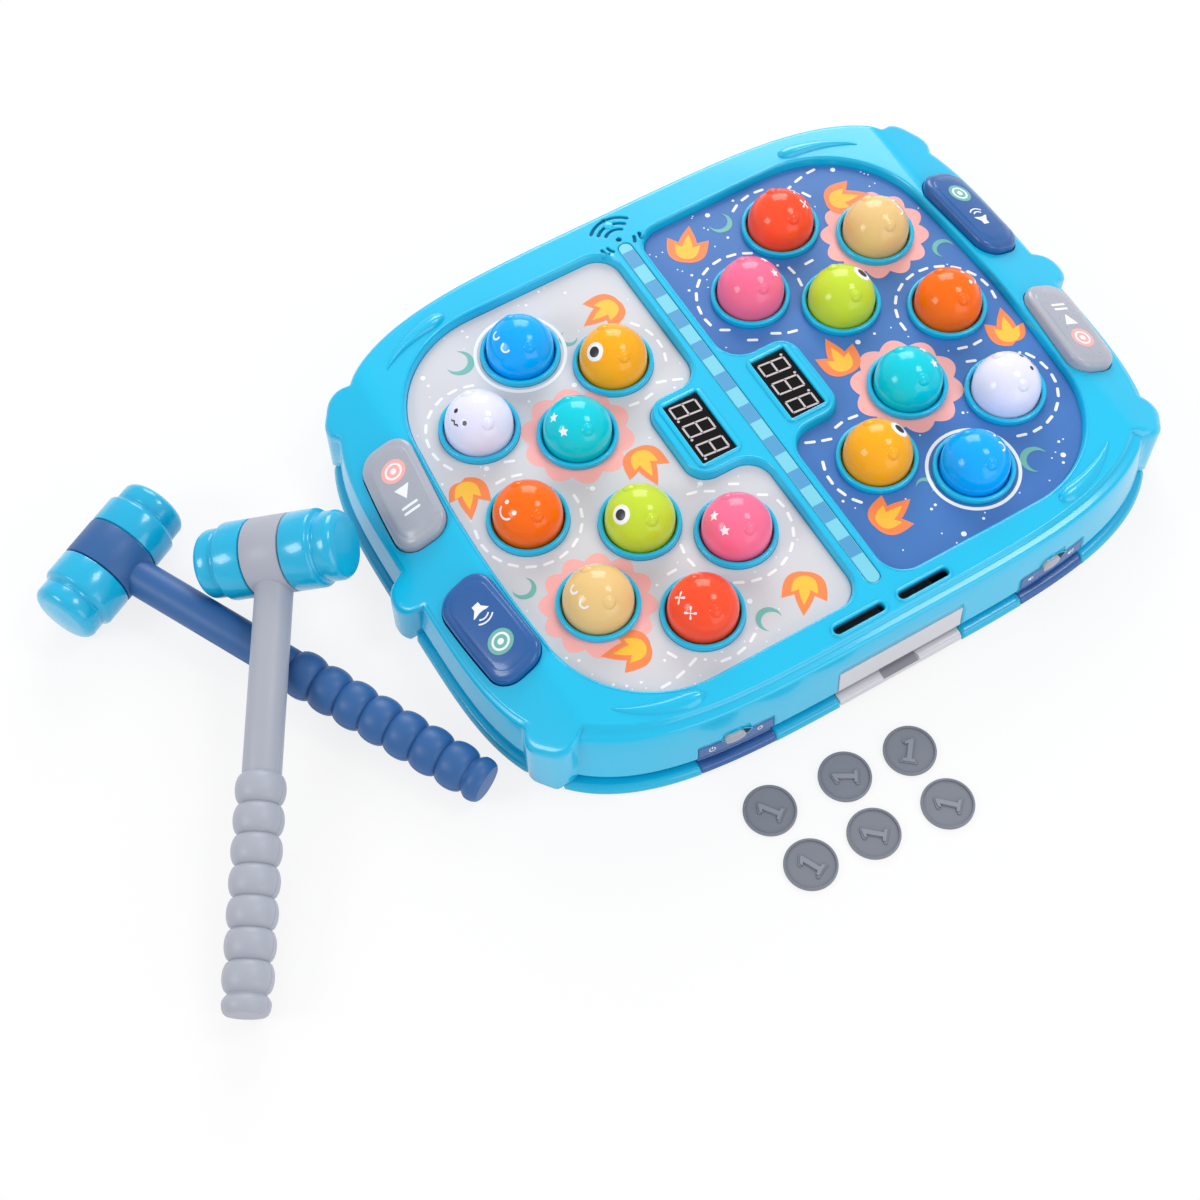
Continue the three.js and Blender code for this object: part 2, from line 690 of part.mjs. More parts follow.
function buttonShape(grow) {
  return roundedShape(BUTTON_WIDTH * HALF + grow, BUTTON_LENGTH * HALF + grow, BUTTON_CORNER + grow);
}

// Moves a solid to a button's place; end is +1 at the back of its wing and -1 at the front
function onWing(body, side, end) {
  return turn(body, side * end * BUTTON_YAW).translate([side * BUTTON_X, end * BUTTON_Y, 0]);
}

function wingPrism(shape, side, end) {
  return onWing(prism(shape, 0, RIM_TOP + OVERRUN, 3), side, end);
}

function topShell() {
  const outer = join(loft(OUTER_LEVELS), pads(0, PLATE_BOTTOM)).intersect(underRoof(0));
  const pocket = prism(fieldShape(0), recessFloor, RIM_TOP + OVERRUN);
  let body = cut(outer, shellCavity(), pocket, halfTurn(pocket));
  const collarTop = PLATE_Z + COLLAR_RISE;
  const collars = molePlaces()
    .map(({ x, y }) => post(x, y, COLLAR_RADIUS, recessFloor - SINK, collarTop, COLLAR_SIDES));
  const slotLip = prism(slotShape(SLOT_LIP), RIM_TOP - SINK, RIM_TOP + SLOT_LIP_RISE, 3);
  const lips = [SLOT_X, -SLOT_X].map((x) => slotLip.translate([x, -SLOT_Y, 0]));
  body = join(body, ...collars, ...lips, ribs(), speakerSeat(), ...topPosts());
  const bores = molePlaces().map(({ x, y }) => post(x, y, COLLAR_BORE, 0, RIM_TOP + OVERRUN, COLLAR_SIDES));
  const slot = prism(slotShape(0), RIM_TOP - WALL - SINK, RIM_TOP + OVERRUN, 3);
  const slots = [SLOT_X, -SLOT_X].map((x) => slot.translate([x, -SLOT_Y, 0]));
  const window = roundedShape(WINDOW_WIDTH * HALF, WINDOW_LENGTH * HALF, SINK);
  const opening = prism(window, PLATE_Z, RIM_TOP + OVERRUN, 1);
  const windows = [DISPLAY_X, -DISPLAY_X].map((x) => opening.translate([x, 0, 0]));
  const channel = prism(stripShape(GAP), RIM_TOP - STRIP_THICK, RIM_TOP + OVERRUN, 3)
    .translate([0, stripMiddle, 0]);
  const hole = buttonShape(GAP);
  const buttonHoles = [1, -1].flatMap((side) => [1, -1].map((end) => wingPrism(hole, side, end)));
  return cut(
    body, ...bores, ...slots, ...windows, channel, ...grille(), ...buttonHoles,
    frontCuts(GAP), switchSlot(1), switchSlot(-1),
  );
}

function upstand() {
  const outer = loft([[UPSTAND_INSET, LIP_ROUND], [UPSTAND_INSET, UPSTAND_TOP]]);
  return cut(outer, loft([[UPSTAND_INSET + WALL, 0], [UPSTAND_INSET + WALL, UPSTAND_TOP + SINK]]));
}

function casePosts() {
  return corners(POST_X, POST_Y).map(([x, y]) => post(x, y, POST_RADIUS, SINK, POST_TOP, SCREW_SIDES));
}

function casePostHoles() {
  return corners(POST_X, POST_Y).flatMap(([x, y]) => [
    post(x, y, SCREW_HEAD_RADIUS + GAP, -SINK, SHOULDER_Z, SCREW_SIDES),
    post(x, y, SCREW_RADIUS + GAP, -SINK, POST_TOP + SINK, SCREW_SIDES),
  ]);
}

const matTop = deckBottom - GAP - MOLE_FLANGE_THICK - MOLE_TRAVEL - GAP;
const boardTop = matTop - MAT_THICK;
const boardBottom = boardTop - BOARD_THICK;

function boardPosts() {
  return corners(BOARD_POST_X, BOARD_POST_Y)
    .map(([x, y]) => post(x, y, BOARD_POST_RADIUS, SINK, boardBottom - GAP, SCREW_SIDES));
}

const bayBack = CELL_BAY_FRONT + BAY_LENGTH;
const coverScrewY = CELL_BAY_FRONT - COVER_TONGUE * HALF;

function batteryBay() {
  const walls = block(
    -BAY_HALF - BAY_WALL, BAY_HALF + BAY_WALL,
    CELL_BAY_FRONT - BAY_FRONT_WALL, bayBack + BAY_WALL, SINK, BAY_HEIGHT + BAY_ROOF,
  );
  const hollow = block(-BAY_HALF, BAY_HALF, CELL_BAY_FRONT, bayBack, -SINK, BAY_HEIGHT);
  const recess = coverBlock(GAP, -SINK, COVER_THICK + GAP);
  const hole = post(0, coverScrewY, SCREW_RADIUS + GAP, 0, COVER_THICK + COVER_SCREW_LENGTH, SCREW_SIDES);
  return { walls, cuts: [hollow, recess, hole] };
}

function coverBlock(grow, bottom, top) {
  return block(
    -BAY_HALF - COVER_LAP - grow, BAY_HALF + COVER_LAP + grow,
    CELL_BAY_FRONT - COVER_TONGUE - grow, bayBack + COVER_LAP + grow, bottom, top,
  );
}

function rails() {
  const inner = TRAY_HALF + GAP;
  const outer = inner + RAIL_WIDTH;
  const top = FLOOR_THICK + RAIL_HEIGHT;
  return [
    block(inner, outer, -FRONT_CUT_BACK + GAP, -RAIL_BACK, SINK, top),
    block(-outer, -inner, -FRONT_CUT_BACK + GAP, -RAIL_BACK, SINK, top),
  ];
}

function bottomShell() {
  const inset = UPSTAND_INSET + WALL;
  const pocket = loft([[inset, FLOOR_THICK], [inset, FLOOR_THICK + OVERRUN]]);
  const bay = batteryBay();
  const pan = cut(loft(LIP_LEVELS), pocket);
  const tray = join(pan, upstand(), ...casePosts(), ...boardPosts(), ...rails(), bay.walls);
  return cut(tray, frontCuts(GAP), pads(GAP, PLATE_BOTTOM - CORE), ...casePostHoles(), ...bay.cuts);
}

// The full outer form of the wall, groove and lip, for pieces cut flush with it
function outerForm() {
  const lip = loft(LIP_LEVELS);
  const levels = OUTER_LEVELS.map(([inset, z]) => [inset, z]);
  levels[0][1] = LIP_HEIGHT - SINK;
  return join(lip, loft(levels));
}

function switchPlate(side) {
  const form = outerForm().intersect(frontBlock(PLATE_INNER, PLATE_OUTER, PLATE_BOTTOM, PLATE_TOP, 0));
  const plate = cut(form, loft(INNER_LEVELS));
  const placed = side > 0 ? plate : plate.mirror([1, 0, 0]);
  return cut(placed, switchSlot(side));
}

function coinDrawer() {
  const face = outerForm().intersect(block(
    -DRAWER_HALF, DRAWER_HALF, -HALF_WIDTH - OVERRUN, -DRAWER_FACE_BACK, DRAWER_BOTTOM, DRAWER_TOP,
  ));
  const bottom = FLOOR_THICK + GAP;
  const top = bottom + TRAY_HEIGHT;
  const tray = block(-TRAY_HALF, TRAY_HALF, -DRAWER_FACE_BACK - SINK, -TRAY_BACK, bottom, top);
  const inside = block(
    -TRAY_HALF + TRAY_WALL, TRAY_HALF - TRAY_WALL, -DRAWER_FACE_BACK + GAP, -TRAY_BACK - TRAY_WALL,
    bottom + TRAY_WALL, top + OVERRUN,
  );
  const finger = block(
    -NOTCH_FINGER_HALF, NOTCH_FINGER_HALF, -HALF_WIDTH - OVERRUN, -HALF_WIDTH + NOTCH_FINGER_DEEP,
    -OVERRUN, LIP_HEIGHT + GAP,
  );
  return cut(join(face, tray), inside, finger);
}

function fieldSheet(side) {
  const places = molePlaces().filter((mole) => mole.side > 0);
  const holes = places.map(({ x, y }) => post(x, y, COLLAR_RADIUS + GAP, 0, RIM_TOP, COLLAR_SIDES));
  const sheet = cut(prism(fieldShape(-GAP), PLATE_Z - SHEET_THICK, PLATE_Z), ...holes);
  return side > 0 ? sheet : halfTurn(sheet);
}

// One mole cap, drawn at the origin with its rim on the deck's underside
function moleBody() {
  const flangeTop = deckBottom - GAP;
  const flangeBottom = flangeTop - MOLE_FLANGE_THICK;
  const centre = PLATE_Z + MOLE_CENTRE_RISE;
  const inner = MOLE_RADIUS - MOLE_WALL;
  const arc = (radius, angle) => [radius * Math.cos(angle), centre + radius * Math.sin(angle)];
  const step = Math.PI / 6;
  const profile = [
    [0, centre + inner], [inner, centre], [inner, flangeBottom],
    [MOLE_FLANGE_RADIUS, flangeBottom], [MOLE_FLANGE_RADIUS, flangeTop], [MOLE_RADIUS, flangeTop],
    arc(MOLE_RADIUS, 0), arc(MOLE_RADIUS, step), arc(MOLE_RADIUS, step * 2), [0, centre + MOLE_RADIUS],
  ];
  return solid(turned(profile, MOLE_SIDES));
}

function moleEars() {
  const reach = MOLE_RADIUS + EAR_PROUD;
  const ear = post(0, 0, EAR_RADIUS, reach - EAR_PROUD * 2, reach, EAR_SIDES, EAR_RADIUS * HALF);
  const lean = 90 - THREE.MathUtils.radToDeg(EAR_ANGLE) - 90;
  const back = ear.rotate([lean, 0, 0]);
  return join(back, back.mirror([0, 1, 0])).translate([0, 0, PLATE_Z + MOLE_CENTRE_RISE]);
}

function playButton(side, end) {
  const tall = (BUTTON_TAB_THICK + GAP * 2) / Math.cos(WING_SLOPE) + WALL;
  const cap = wingPrism(buttonShape(0), side, end).intersect(wingSlab(side, -tall, BUTTON_PROUD));
  const reach = BUTTON_LENGTH * HALF + BUTTON_TAB;
  const bar = block(-BUTTON_TAB_HALF, BUTTON_TAB_HALF, -reach, reach, 0, RIM_TOP);
  const tabs = onWing(bar, side, end).intersect(wingSlab(side, -tall, -WALL - GAP * 2));
  return join(cap, tabs);
}

function displayModule(side) {
  const halfX = WINDOW_WIDTH * HALF + DISPLAY_MARGIN;
  const halfY = WINDOW_LENGTH * HALF + DISPLAY_MARGIN;
  const top = RIM_TOP - WALL - GAP;
  return block(-halfX, halfX, -halfY, halfY, boardTop, top).translate([side * DISPLAY_X, 0, 0]);
}

function switchSlider(side) {
  const back = WALL + GAP * 4;
  const halfSlider = SLIDER_LENGTH * HALF;
  const knobShape = roundedShape(KNOB_LENGTH * HALF, KNOB_HEIGHT * HALF, KNOB_HEIGHT * HALF - SINK);
  const knob = prism(knobShape, GAP * 2, GAP + KNOB_PROUD, 3).rotate([90, 0, 0]);
  const halfStem = STEM_LENGTH * HALF - GAP;
  const stemHalfHeight = SWITCH_SLOT_HEIGHT * HALF - GAP;
  const stem = block(-halfStem, halfStem, -GAP * 2 - SINK, back + SINK, -stemHalfHeight, stemHalfHeight);
  const halfHeight = SLIDER_HEIGHT * HALF;
  const plate = block(-halfSlider, halfSlider, back, back + SLIDER_THICK, -halfHeight, halfHeight);
  const body = join(knob, stem, plate).translate([-KNOB_OFFSET, 0, 0]);
  return atSwitch(body, side);
}

function circuitBoard() {
  return block(-BOARD_HALF_X, BOARD_HALF_X, -BOARD_HALF_Y, BOARD_HALF_Y, boardBottom, boardTop);
}

function switchMat(side) {
  const outerX = BOARD_HALF_X - MAT_MARGIN;
  const outerY = BOARD_HALF_Y - MAT_MARGIN;
  const sheet = cut(
    block(MAT_INNER, outerX, -outerY, outerY, boardTop, matTop),
    block(0, MAT_NOTCH_X, -MAT_NOTCH_HALF, MAT_NOTCH_HALF, 0, RIM_TOP),
  );
  const places = molePlaces().filter((mole) => mole.side > 0);
  const domeTop = matTop + DOME_HEIGHT;
  const domes = places
    .map(({ x, y }) => post(x, y, DOME_RADIUS, matTop - SINK, domeTop, DOME_SIDES, DOME_TIP_RADIUS));
  const mat = join(sheet, ...domes);
  return side > 0 ? mat : halfTurn(mat);
}

function speakerGeometry() {
  const flange = SPEAKER_TOP - SPEAKER_RIM_THICK;
  const bottom = flange - SPEAKER_MAGNET_THICK;
  const profile = [
    [0, bottom], [SPEAKER_MAGNET_RADIUS, bottom], [SPEAKER_MAGNET_RADIUS, flange],
    [SPEAKER_RADIUS, flange], [SPEAKER_RADIUS, SPEAKER_TOP], [0, SPEAKER_TOP],
  ];
  return turned(profile, COLLAR_SIDES);
}

function coinSensor() {
  const top = RIM_TOP - WALL - GAP;
  const halfLength = SENSOR_LENGTH * HALF;
  return block(-SENSOR_HALF, SENSOR_HALF, -halfLength, halfLength, top - SENSOR_HEIGHT, top);
}

function coinGeometry() {
  const floor = COIN_THICK - COIN_SINK;
  const inner = COIN_RADIUS - COIN_RIM;
  return turned([
    [0, 0], [COIN_RADIUS, 0], [COIN_RADIUS, COIN_THICK], [inner, COIN_THICK], [inner, floor], [0, floor],
  ], COIN_SIDES);
}

// A screw that points up, its head's underside at height zero
function screwGeometry(length) {
  return turned([
    [0, -SCREW_HEAD_THICK], [SCREW_HEAD_RADIUS, -SCREW_HEAD_THICK], [SCREW_HEAD_RADIUS, 0],
    [SCREW_RADIUS, 0], [SCREW_RADIUS, length], [0, length],
  ], SCREW_SIDES);
}

function cellGeometry() {
  return turned([
    [0, 0], [CELL_RADIUS, 0], [CELL_RADIUS, CELL_LENGTH - CELL_TIP],
    [CELL_TIP_RADIUS, CELL_LENGTH - CELL_TIP], [CELL_TIP_RADIUS, CELL_LENGTH], [0, CELL_LENGTH],
  ], COLLAR_SIDES).rotateY(Math.PI / 2);
}

function batteryCover() {
  const cover = coverBlock(0, 0, COVER_THICK);
  const counter = COVER_THICK * HALF;
  return cut(
    cover,
    post(0, coverScrewY, SCREW_RADIUS + GAP, -SINK, COVER_THICK + SINK, SCREW_SIDES),
    post(0, coverScrewY, SCREW_HEAD_RADIUS + GAP, -SINK, counter, SCREW_SIDES),
  );
}

function coverScrewGeometry() {
  const thin = COVER_THICK * HALF - GAP;
  return turned([
    [0, -thin], [SCREW_HEAD_RADIUS, -thin], [SCREW_HEAD_RADIUS, 0],
    [SCREW_RADIUS, 0], [SCREW_RADIUS, COVER_SCREW_LENGTH], [0, COVER_SCREW_LENGTH],
  ], SCREW_SIDES);
}

// The handle's turned form, from the head's middle down along -Z
function handleProfile() {
  const points = [[0, 0], [SHAFT_RADIUS, 0], [SHAFT_RADIUS, SHAFT_END]];
  const pitch = (GRIP_END - SHAFT_END) / BEAD_COUNT;
  for (let i = 0; i < BEAD_COUNT; i += 1) {
    const start = SHAFT_END + i * pitch;
    points.push([NECK_RADIUS, start + GAP], [BEAD_RADIUS, start + pitch * HALF]);
  }
  points.push([NECK_RADIUS, GRIP_END], [FLARE_RADIUS, FLARE_START], [TIP_RADIUS, TIP_END], [0, TIP_END]);
  return points;
}

// A T-shaped handle: the shaft along -Y, the head's band and its two spigots along X
function hammerHandle() {
  const halfStep = Math.PI / HANDLE_SIDES;
  const shaft = solid(turned(handleProfile(), HANDLE_SIDES).rotateX(Math.PI / 2).rotateY(halfStep));
  const spigotEnd = BAND_HALF + SPIGOT_LENGTH;
  const band = turned([
    [0, -spigotEnd], [SPIGOT_RADIUS, -spigotEnd], [SPIGOT_RADIUS, -BAND_HALF], [HEAD_RADIUS, -BAND_HALF],
    [HEAD_RADIUS, BAND_HALF], [SPIGOT_RADIUS, BAND_HALF], [SPIGOT_RADIUS, spigotEnd], [0, spigotEnd],
  ], HEAD_SIDES).rotateY(Math.PI / 2);
  return join(shaft, solid(band));
}

// A soft cap on the +X spigot
function hammerCapGeometry() {
  const start = BAND_HALF + GAP;
  const bore = SPIGOT_RADIUS + GAP;
  const boreEnd = BAND_HALF + SPIGOT_LENGTH + GAP;
  return turned([
    [0, boreEnd], [bore, boreEnd], [bore, start], [HEAD_RADIUS, start], [HEAD_RADIUS, CAP_MAIN],
    [CAP_GROOVE_RADIUS, CAP_GROOVE], [CAP_SHOULDER_RADIUS, CAP_SHOULDER],
    [CAP_END_RADIUS, CAP_END], [0, CAP_END],
  ], HEAD_SIDES).rotateY(Math.PI / 2);
}

function plastic(colour, roughness = 0.4, metalness = 0) {
  return new THREE.MeshStandardMaterial({ color: colour, roughness, metalness });
}

function piece(name, shape, material) {
  const geometry = shape instanceof THREE.BufferGeometry ? shape : geometryOf(shape);
  const mesh = new THREE.Mesh(geometry, material);
  mesh.name = name;
  return mesh;
}

const game = new THREE.Group();

function addCase() {
  game.add(piece('top_shell', topShell(), plastic(COLOURS.shell)));
  game.add(piece('bottom_shell', bottomShell(), plastic(COLOURS.base)));
  game.add(piece('left_field_sheet', fieldSheet(-1), plastic(COLOURS.greySheet, 0.5)));
  game.add(piece('right_field_sheet', fieldSheet(1), plastic(COLOURS.blueSheet, 0.5)));
  const strip = prism(stripShape(0), RIM_TOP - STRIP_THICK, RIM_TOP, 3).translate([0, stripMiddle, 0]);
  game.add(piece('divider_strip', strip, plastic(COLOURS.strip, 0.5)));
}

function addMoles() {
  const body = join(moleBody(), moleEars());
  for (const { name, x, y, colour } of molePlaces()) {
    const mole = piece(name, body, plastic(colour, 0.25));
    mole.position.set(x, y, 0);
    game.add(mole);
  }
}

function addControls() {
  for (const [word, side] of [['left', -1], ['right', 1]]) {
    game.add(piece(`${word}_start_button`, playButton(side, -side), plastic(COLOURS.grey)));
    game.add(piece(`${word}_sound_button`, playButton(side, side), plastic(COLOURS.navy)));
    game.add(piece(`${word}_display`, displayModule(side), plastic(COLOURS.display, 0.2)));
    game.add(piece(`${word}_switch_plate`, switchPlate(side), plastic(COLOURS.navy)));
    game.add(piece(`${word}_switch_knob`, switchSlider(side), plastic(COLOURS.grey)));
    game.add(piece(`${word}_switch_mat`, switchMat(side), plastic(COLOURS.mat, 0.7)));
  }
}

function addInside() {
  game.add(piece('circuit_board', circuitBoard(), plastic(COLOURS.board, 0.5)));
  const speaker = piece('speaker', speakerGeometry(), plastic(COLOURS.dark, 0.6));
  speaker.position.set(0, GRILLE_Y, 0);
  const sensor = piece('coin_sensor', coinSensor(), plastic(COLOURS.dark, 0.6));
  sensor.position.set(0, -SLOT_Y, 0);
  game.add(speaker, sensor);
  corners(POST_X, POST_Y).forEach(([x, y], i) => {
    const screw = piece(`case_screw_${i + 1}`, screwGeometry(SCREW_LENGTH), plastic(COLOURS.metal, 0.3, 1));
    screw.position.set(x, y, SHOULDER_Z - GAP);
    game.add(screw);
  });
}

function addBatteries() {
  for (let i = 0; i < CELL_COUNT; i += 1) {
    const cell = piece(`battery_${i + 1}`, cellGeometry(), plastic(COLOURS.cell, 0.4));
    const first = CELL_BAY_FRONT + (BAY_LENGTH - CELL_PITCH * (CELL_COUNT - 1)) * HALF;
    cell.position.set(-CELL_LENGTH * HALF, first + i * CELL_PITCH, COVER_THICK + GAP * 2 + CELL_RADIUS);
    game.add(cell);
  }
  game.add(piece('battery_cover', batteryCover(), plastic(COLOURS.base)));
  const screw = piece('battery_cover_screw', coverScrewGeometry(), plastic(COLOURS.metal, 0.3, 1));
  screw.position.set(0, coverScrewY, COVER_THICK * HALF - GAP);
  game.add(screw);
}

function addCoins() {
  game.add(piece('coin_drawer', coinDrawer(), plastic(COLOURS.greySheet)));
  COIN_PLACES.forEach(([x, distance], i) => {
    const coin = piece(`coin_${i + 1}`, coinGeometry(), plastic(COLOURS.coin, 0.5));
    coin.position.set(x, -HALF_WIDTH - distance, 0);
    game.add(coin);
  });
}

function addHammer(word, colour, place, yaw, pitch, roll) {
  const hammer = new THREE.Group();
  hammer.position.copy(place);
  hammer.rotation.set(pitch, roll, yaw, 'ZXY');
  hammer.add(piece(`${word}_hammer_handle`, hammerHandle(), plastic(colour, 0.45)));
  const right = piece(`${word}_hammer_right_cap`, hammerCapGeometry(), plastic(COLOURS.cap, 0.35));
  const left = piece(`${word}_hammer_left_cap`, hammerCapGeometry(), plastic(COLOURS.cap, 0.35));
  left.rotation.z = Math.PI;
  hammer.add(right, left);
  game.add(hammer);
}

// How far a hammer tips down when its head is at a height and its flared tip is on the table
const tipPitch = (headZ, tipRadius) => Math.asin((headZ - tipRadius) / FLARE_START);

// Half the distance across the flats of a handle's section
function flatRadius(radius) {
  return radius * Math.cos(Math.PI / HANDLE_SIDES);
}

function shaftDirection(yaw, pitch) {
  return new THREE.Vector3(0, -1, 0).applyEuler(new THREE.Euler(pitch, 0, yaw, 'ZXY'));
}

// The height of the grey head at which its shaft rests on the navy shaft that it crosses
function greyHeadHeight(navyHead) {
  const navyShaft = shaftDirection(NAVY_YAW, tipPitch(navyHead.z, flatRadius(FLARE_RADIUS)));
  let height = navyHead.z + HEAD_RADIUS;
  for (let i = 0; i < REST_STEPS; i += 1) {
    const greyShaft = shaftDirection(GREY_YAW, tipPitch(height, FLARE_RADIUS));
    const upright = new THREE.Vector3().crossVectors(navyShaft, greyShaft).normalize();
    if (upright.z < 0) upright.negate();
    const apart = new THREE.Vector3(GREY_X, GREY_Y, height).sub(navyHead).dot(upright);
    height += (flatRadius(SHAFT_RADIUS) * 2 + GAP * 2 - apart) / upright.z;
  }
  return height;
}

function addHammers() {
  const navyHead = new THREE.Vector3(NAVY_X, NAVY_Y, HEAD_RADIUS);
  const greyHead = new THREE.Vector3(GREY_X, GREY_Y, greyHeadHeight(navyHead));
  const navyPitch = tipPitch(navyHead.z, flatRadius(FLARE_RADIUS));
  const greyPitch = tipPitch(greyHead.z, FLARE_RADIUS);
  addHammer('navy', COLOURS.navy, navyHead, NAVY_YAW, navyPitch, 0);
  addHammer('grey', COLOURS.grey, greyHead, GREY_YAW, greyPitch, GREY_ROLL);
}

addCase();
addMoles();
addControls();
addInside();
addBatteries();
addCoins();
addHammers();

export default game;
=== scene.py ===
import logging
import math
from dataclasses import dataclass, field
from enum import Enum
from typing import Callable, Iterable, Optional, Sequence

import bmesh
import bpy
import numpy as np
from mathutils import Matrix, Vector
from mathutils.geometry import delaunay_2d_cdt


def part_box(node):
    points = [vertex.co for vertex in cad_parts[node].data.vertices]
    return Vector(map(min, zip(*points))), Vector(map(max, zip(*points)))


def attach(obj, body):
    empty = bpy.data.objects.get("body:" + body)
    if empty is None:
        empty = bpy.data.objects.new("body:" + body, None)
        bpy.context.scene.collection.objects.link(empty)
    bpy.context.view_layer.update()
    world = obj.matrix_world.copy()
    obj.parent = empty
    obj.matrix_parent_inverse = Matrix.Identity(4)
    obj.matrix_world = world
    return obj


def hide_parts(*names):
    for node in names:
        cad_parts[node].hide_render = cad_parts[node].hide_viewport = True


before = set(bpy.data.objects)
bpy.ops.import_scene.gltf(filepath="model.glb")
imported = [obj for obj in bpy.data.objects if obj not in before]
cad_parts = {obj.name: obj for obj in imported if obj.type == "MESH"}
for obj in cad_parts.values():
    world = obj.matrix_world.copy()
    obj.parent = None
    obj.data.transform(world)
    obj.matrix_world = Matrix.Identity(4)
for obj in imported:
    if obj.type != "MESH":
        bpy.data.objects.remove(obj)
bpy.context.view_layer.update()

MM = 0.001
LOG = logging.getLogger("mole_game")
Finish = bpy.types.Material
Surface = Callable[[np.ndarray, float], np.ndarray]


class Side(Enum):
    """The two players' ends of the console."""

    LEFT = -1
    RIGHT = 1

    @property
    def word(self) -> str:
        """The side's name in node names."""
        return self.name.lower()


# Colour and node helpers


def linear(code: str) -> tuple[float, float, float, float]:
    """Turns an sRGB hex colour into linear values.

    Args:
        code: six hex digits, with or without a leading #.

    Returns:
        Linear red, green and blue, and an alpha of 1.
    """
    digits = code.lstrip("#")
    parts = [int(digits[i:i + 2], 16) / 255 for i in (0, 2, 4)]
    toned = [c / 12.92 if c <= 0.04045 else ((c + 0.055) / 1.055) ** 2.4 for c in parts]
    return toned[0], toned[1], toned[2], 1.0


def add_node(tree: bpy.types.NodeTree, kind: str, settings: Optional[dict] = None,
             values: Optional[dict] = None, links: Optional[dict] = None) -> bpy.types.Node:
    """Adds one node with its settings, input values and links.

    Args:
        tree: the node tree that gets the node.
        kind: the node's type name.
        settings: properties of the node itself.
        values: input values, by socket name or number.
        links: output sockets to link, by input socket name or number.

    Returns:
        The new node.
    """
    node = tree.nodes.new(kind)
    for name, value in (settings or {}).items():
        setattr(node, name, value)
    for name, value in (values or {}).items():
        node.inputs[name].default_value = value
    for name, socket in (links or {}).items():
        tree.links.new(socket, node.inputs[name])
    return node


def new_material(name: str) -> tuple[Finish, bpy.types.NodeTree]:
    """A material and its node tree, still empty."""
    finish = bpy.data.materials.new(name)
    finish.use_nodes = True
    finish.node_tree.nodes.clear()
    return finish, finish.node_tree


def linked(name: str, data: bpy.types.ID) -> bpy.types.Object:
    """A new object that holds the data, linked to the scene."""
    piece = bpy.data.objects.new(name, data)
    bpy.context.scene.collection.objects.link(piece)
    return piece


# Finishes


@dataclass(frozen=True)
class Moulded:
    """Injection-moulded plastic: a colour that drifts a little, fine texture and an even gloss."""

    name: str
    colour: str
    drift: str
    roughness: float = 0.3
    specular: float = 0.5
    coat: float = 0.0
    drift_mm: float = 45.0
    grain_mm: float = 1.6
    grain_depth_mm: float = 0.008
    soft: float = 0.0

    def material(self) -> Finish:
        """Builds the node material."""
        finish, tree = new_material(self.name)
        place = add_node(tree, "ShaderNodeTexCoord").outputs["Object"]
        cloud = add_node(tree, "ShaderNodeTexNoise",
                         values={"Scale": 1 / (self.drift_mm * MM), "Detail": 2.0, "Roughness": 0.5},
                         links={"Vector": place})
        tint = add_node(tree, "ShaderNodeMix", {"data_type": "RGBA"},
                        {6: linear(self.colour), 7: linear(self.drift)}, {0: cloud.outputs[0]})
        grain = add_node(tree, "ShaderNodeTexNoise",
                         values={"Scale": 1 / (self.grain_mm * MM), "Detail": 1.0},
                         links={"Vector": place})
        gloss = add_node(tree, "ShaderNodeMapRange",
                         values={3: self.roughness * 0.92, 4: self.roughness * 1.08},
                         links={0: grain.outputs[0]})
        bump = add_node(tree, "ShaderNodeBump",
                        values={"Strength": 0.5, "Distance": self.grain_depth_mm * MM},
                        links={"Height": grain.outputs[0]})
        shader = add_node(tree, "ShaderNodeBsdfPrincipled",
                          values={"IOR": 1.5, "Specular IOR Level": self.specular,
                                  "Coat Weight": self.coat, "Coat Roughness": 0.08,
                                  "Subsurface Weight": self.soft, "Subsurface Scale": 0.004},
                          links={"Base Color": tint.outputs[2], "Roughness": gloss.outputs[0],
                                 "Normal": bump.outputs[0]})
        add_node(tree, "ShaderNodeOutputMaterial", links={"Surface": shader.outputs[0]})
        return finish


@dataclass(frozen=True)
class Banded:
    """A finish with fine bands or cells over a base colour: brushed metal, copper tracks, sleeves."""

    name: str
    colour: str
    band: str
    pitch_mm: float
    stretch: tuple[float, float, float] = (1.0, 1.0, 1.0)
    metallic: float = 0.0
    roughness: float = 0.35
    depth_mm: float = 0.02
    contrast: tuple[float, float] = (0.42, 0.58)

    def material(self) -> Finish:
        """Builds the node material."""
        finish, tree = new_material(self.name)
        place = add_node(tree, "ShaderNodeTexCoord").outputs["Object"]
        drawn = add_node(tree, "ShaderNodeMapping", values={"Scale": self.stretch}, links={"Vector": place})
        noise = add_node(tree, "ShaderNodeTexNoise",
                         values={"Scale": 1 / (self.pitch_mm * MM), "Detail": 4.0},
                         links={"Vector": drawn.outputs[0]})
        edge = add_node(tree, "ShaderNodeMapRange",
                        values={1: self.contrast[0], 2: self.contrast[1]}, links={0: noise.outputs[0]})
        tint = add_node(tree, "ShaderNodeMix", {"data_type": "RGBA"},
                        {6: linear(self.colour), 7: linear(self.band)}, {0: edge.outputs[0]})
        bump = add_node(tree, "ShaderNodeBump", values={"Strength": 0.6, "Distance": self.depth_mm * MM},
                        links={"Height": edge.outputs[0]})
        shader = add_node(tree, "ShaderNodeBsdfPrincipled",
                          values={"Metallic": self.metallic, "Roughness": self.roughness},
                          links={"Base Color": tint.outputs[2], "Normal": bump.outputs[0]})
        add_node(tree, "ShaderNodeOutputMaterial", links={"Surface": shader.outputs[0]})
        return finish


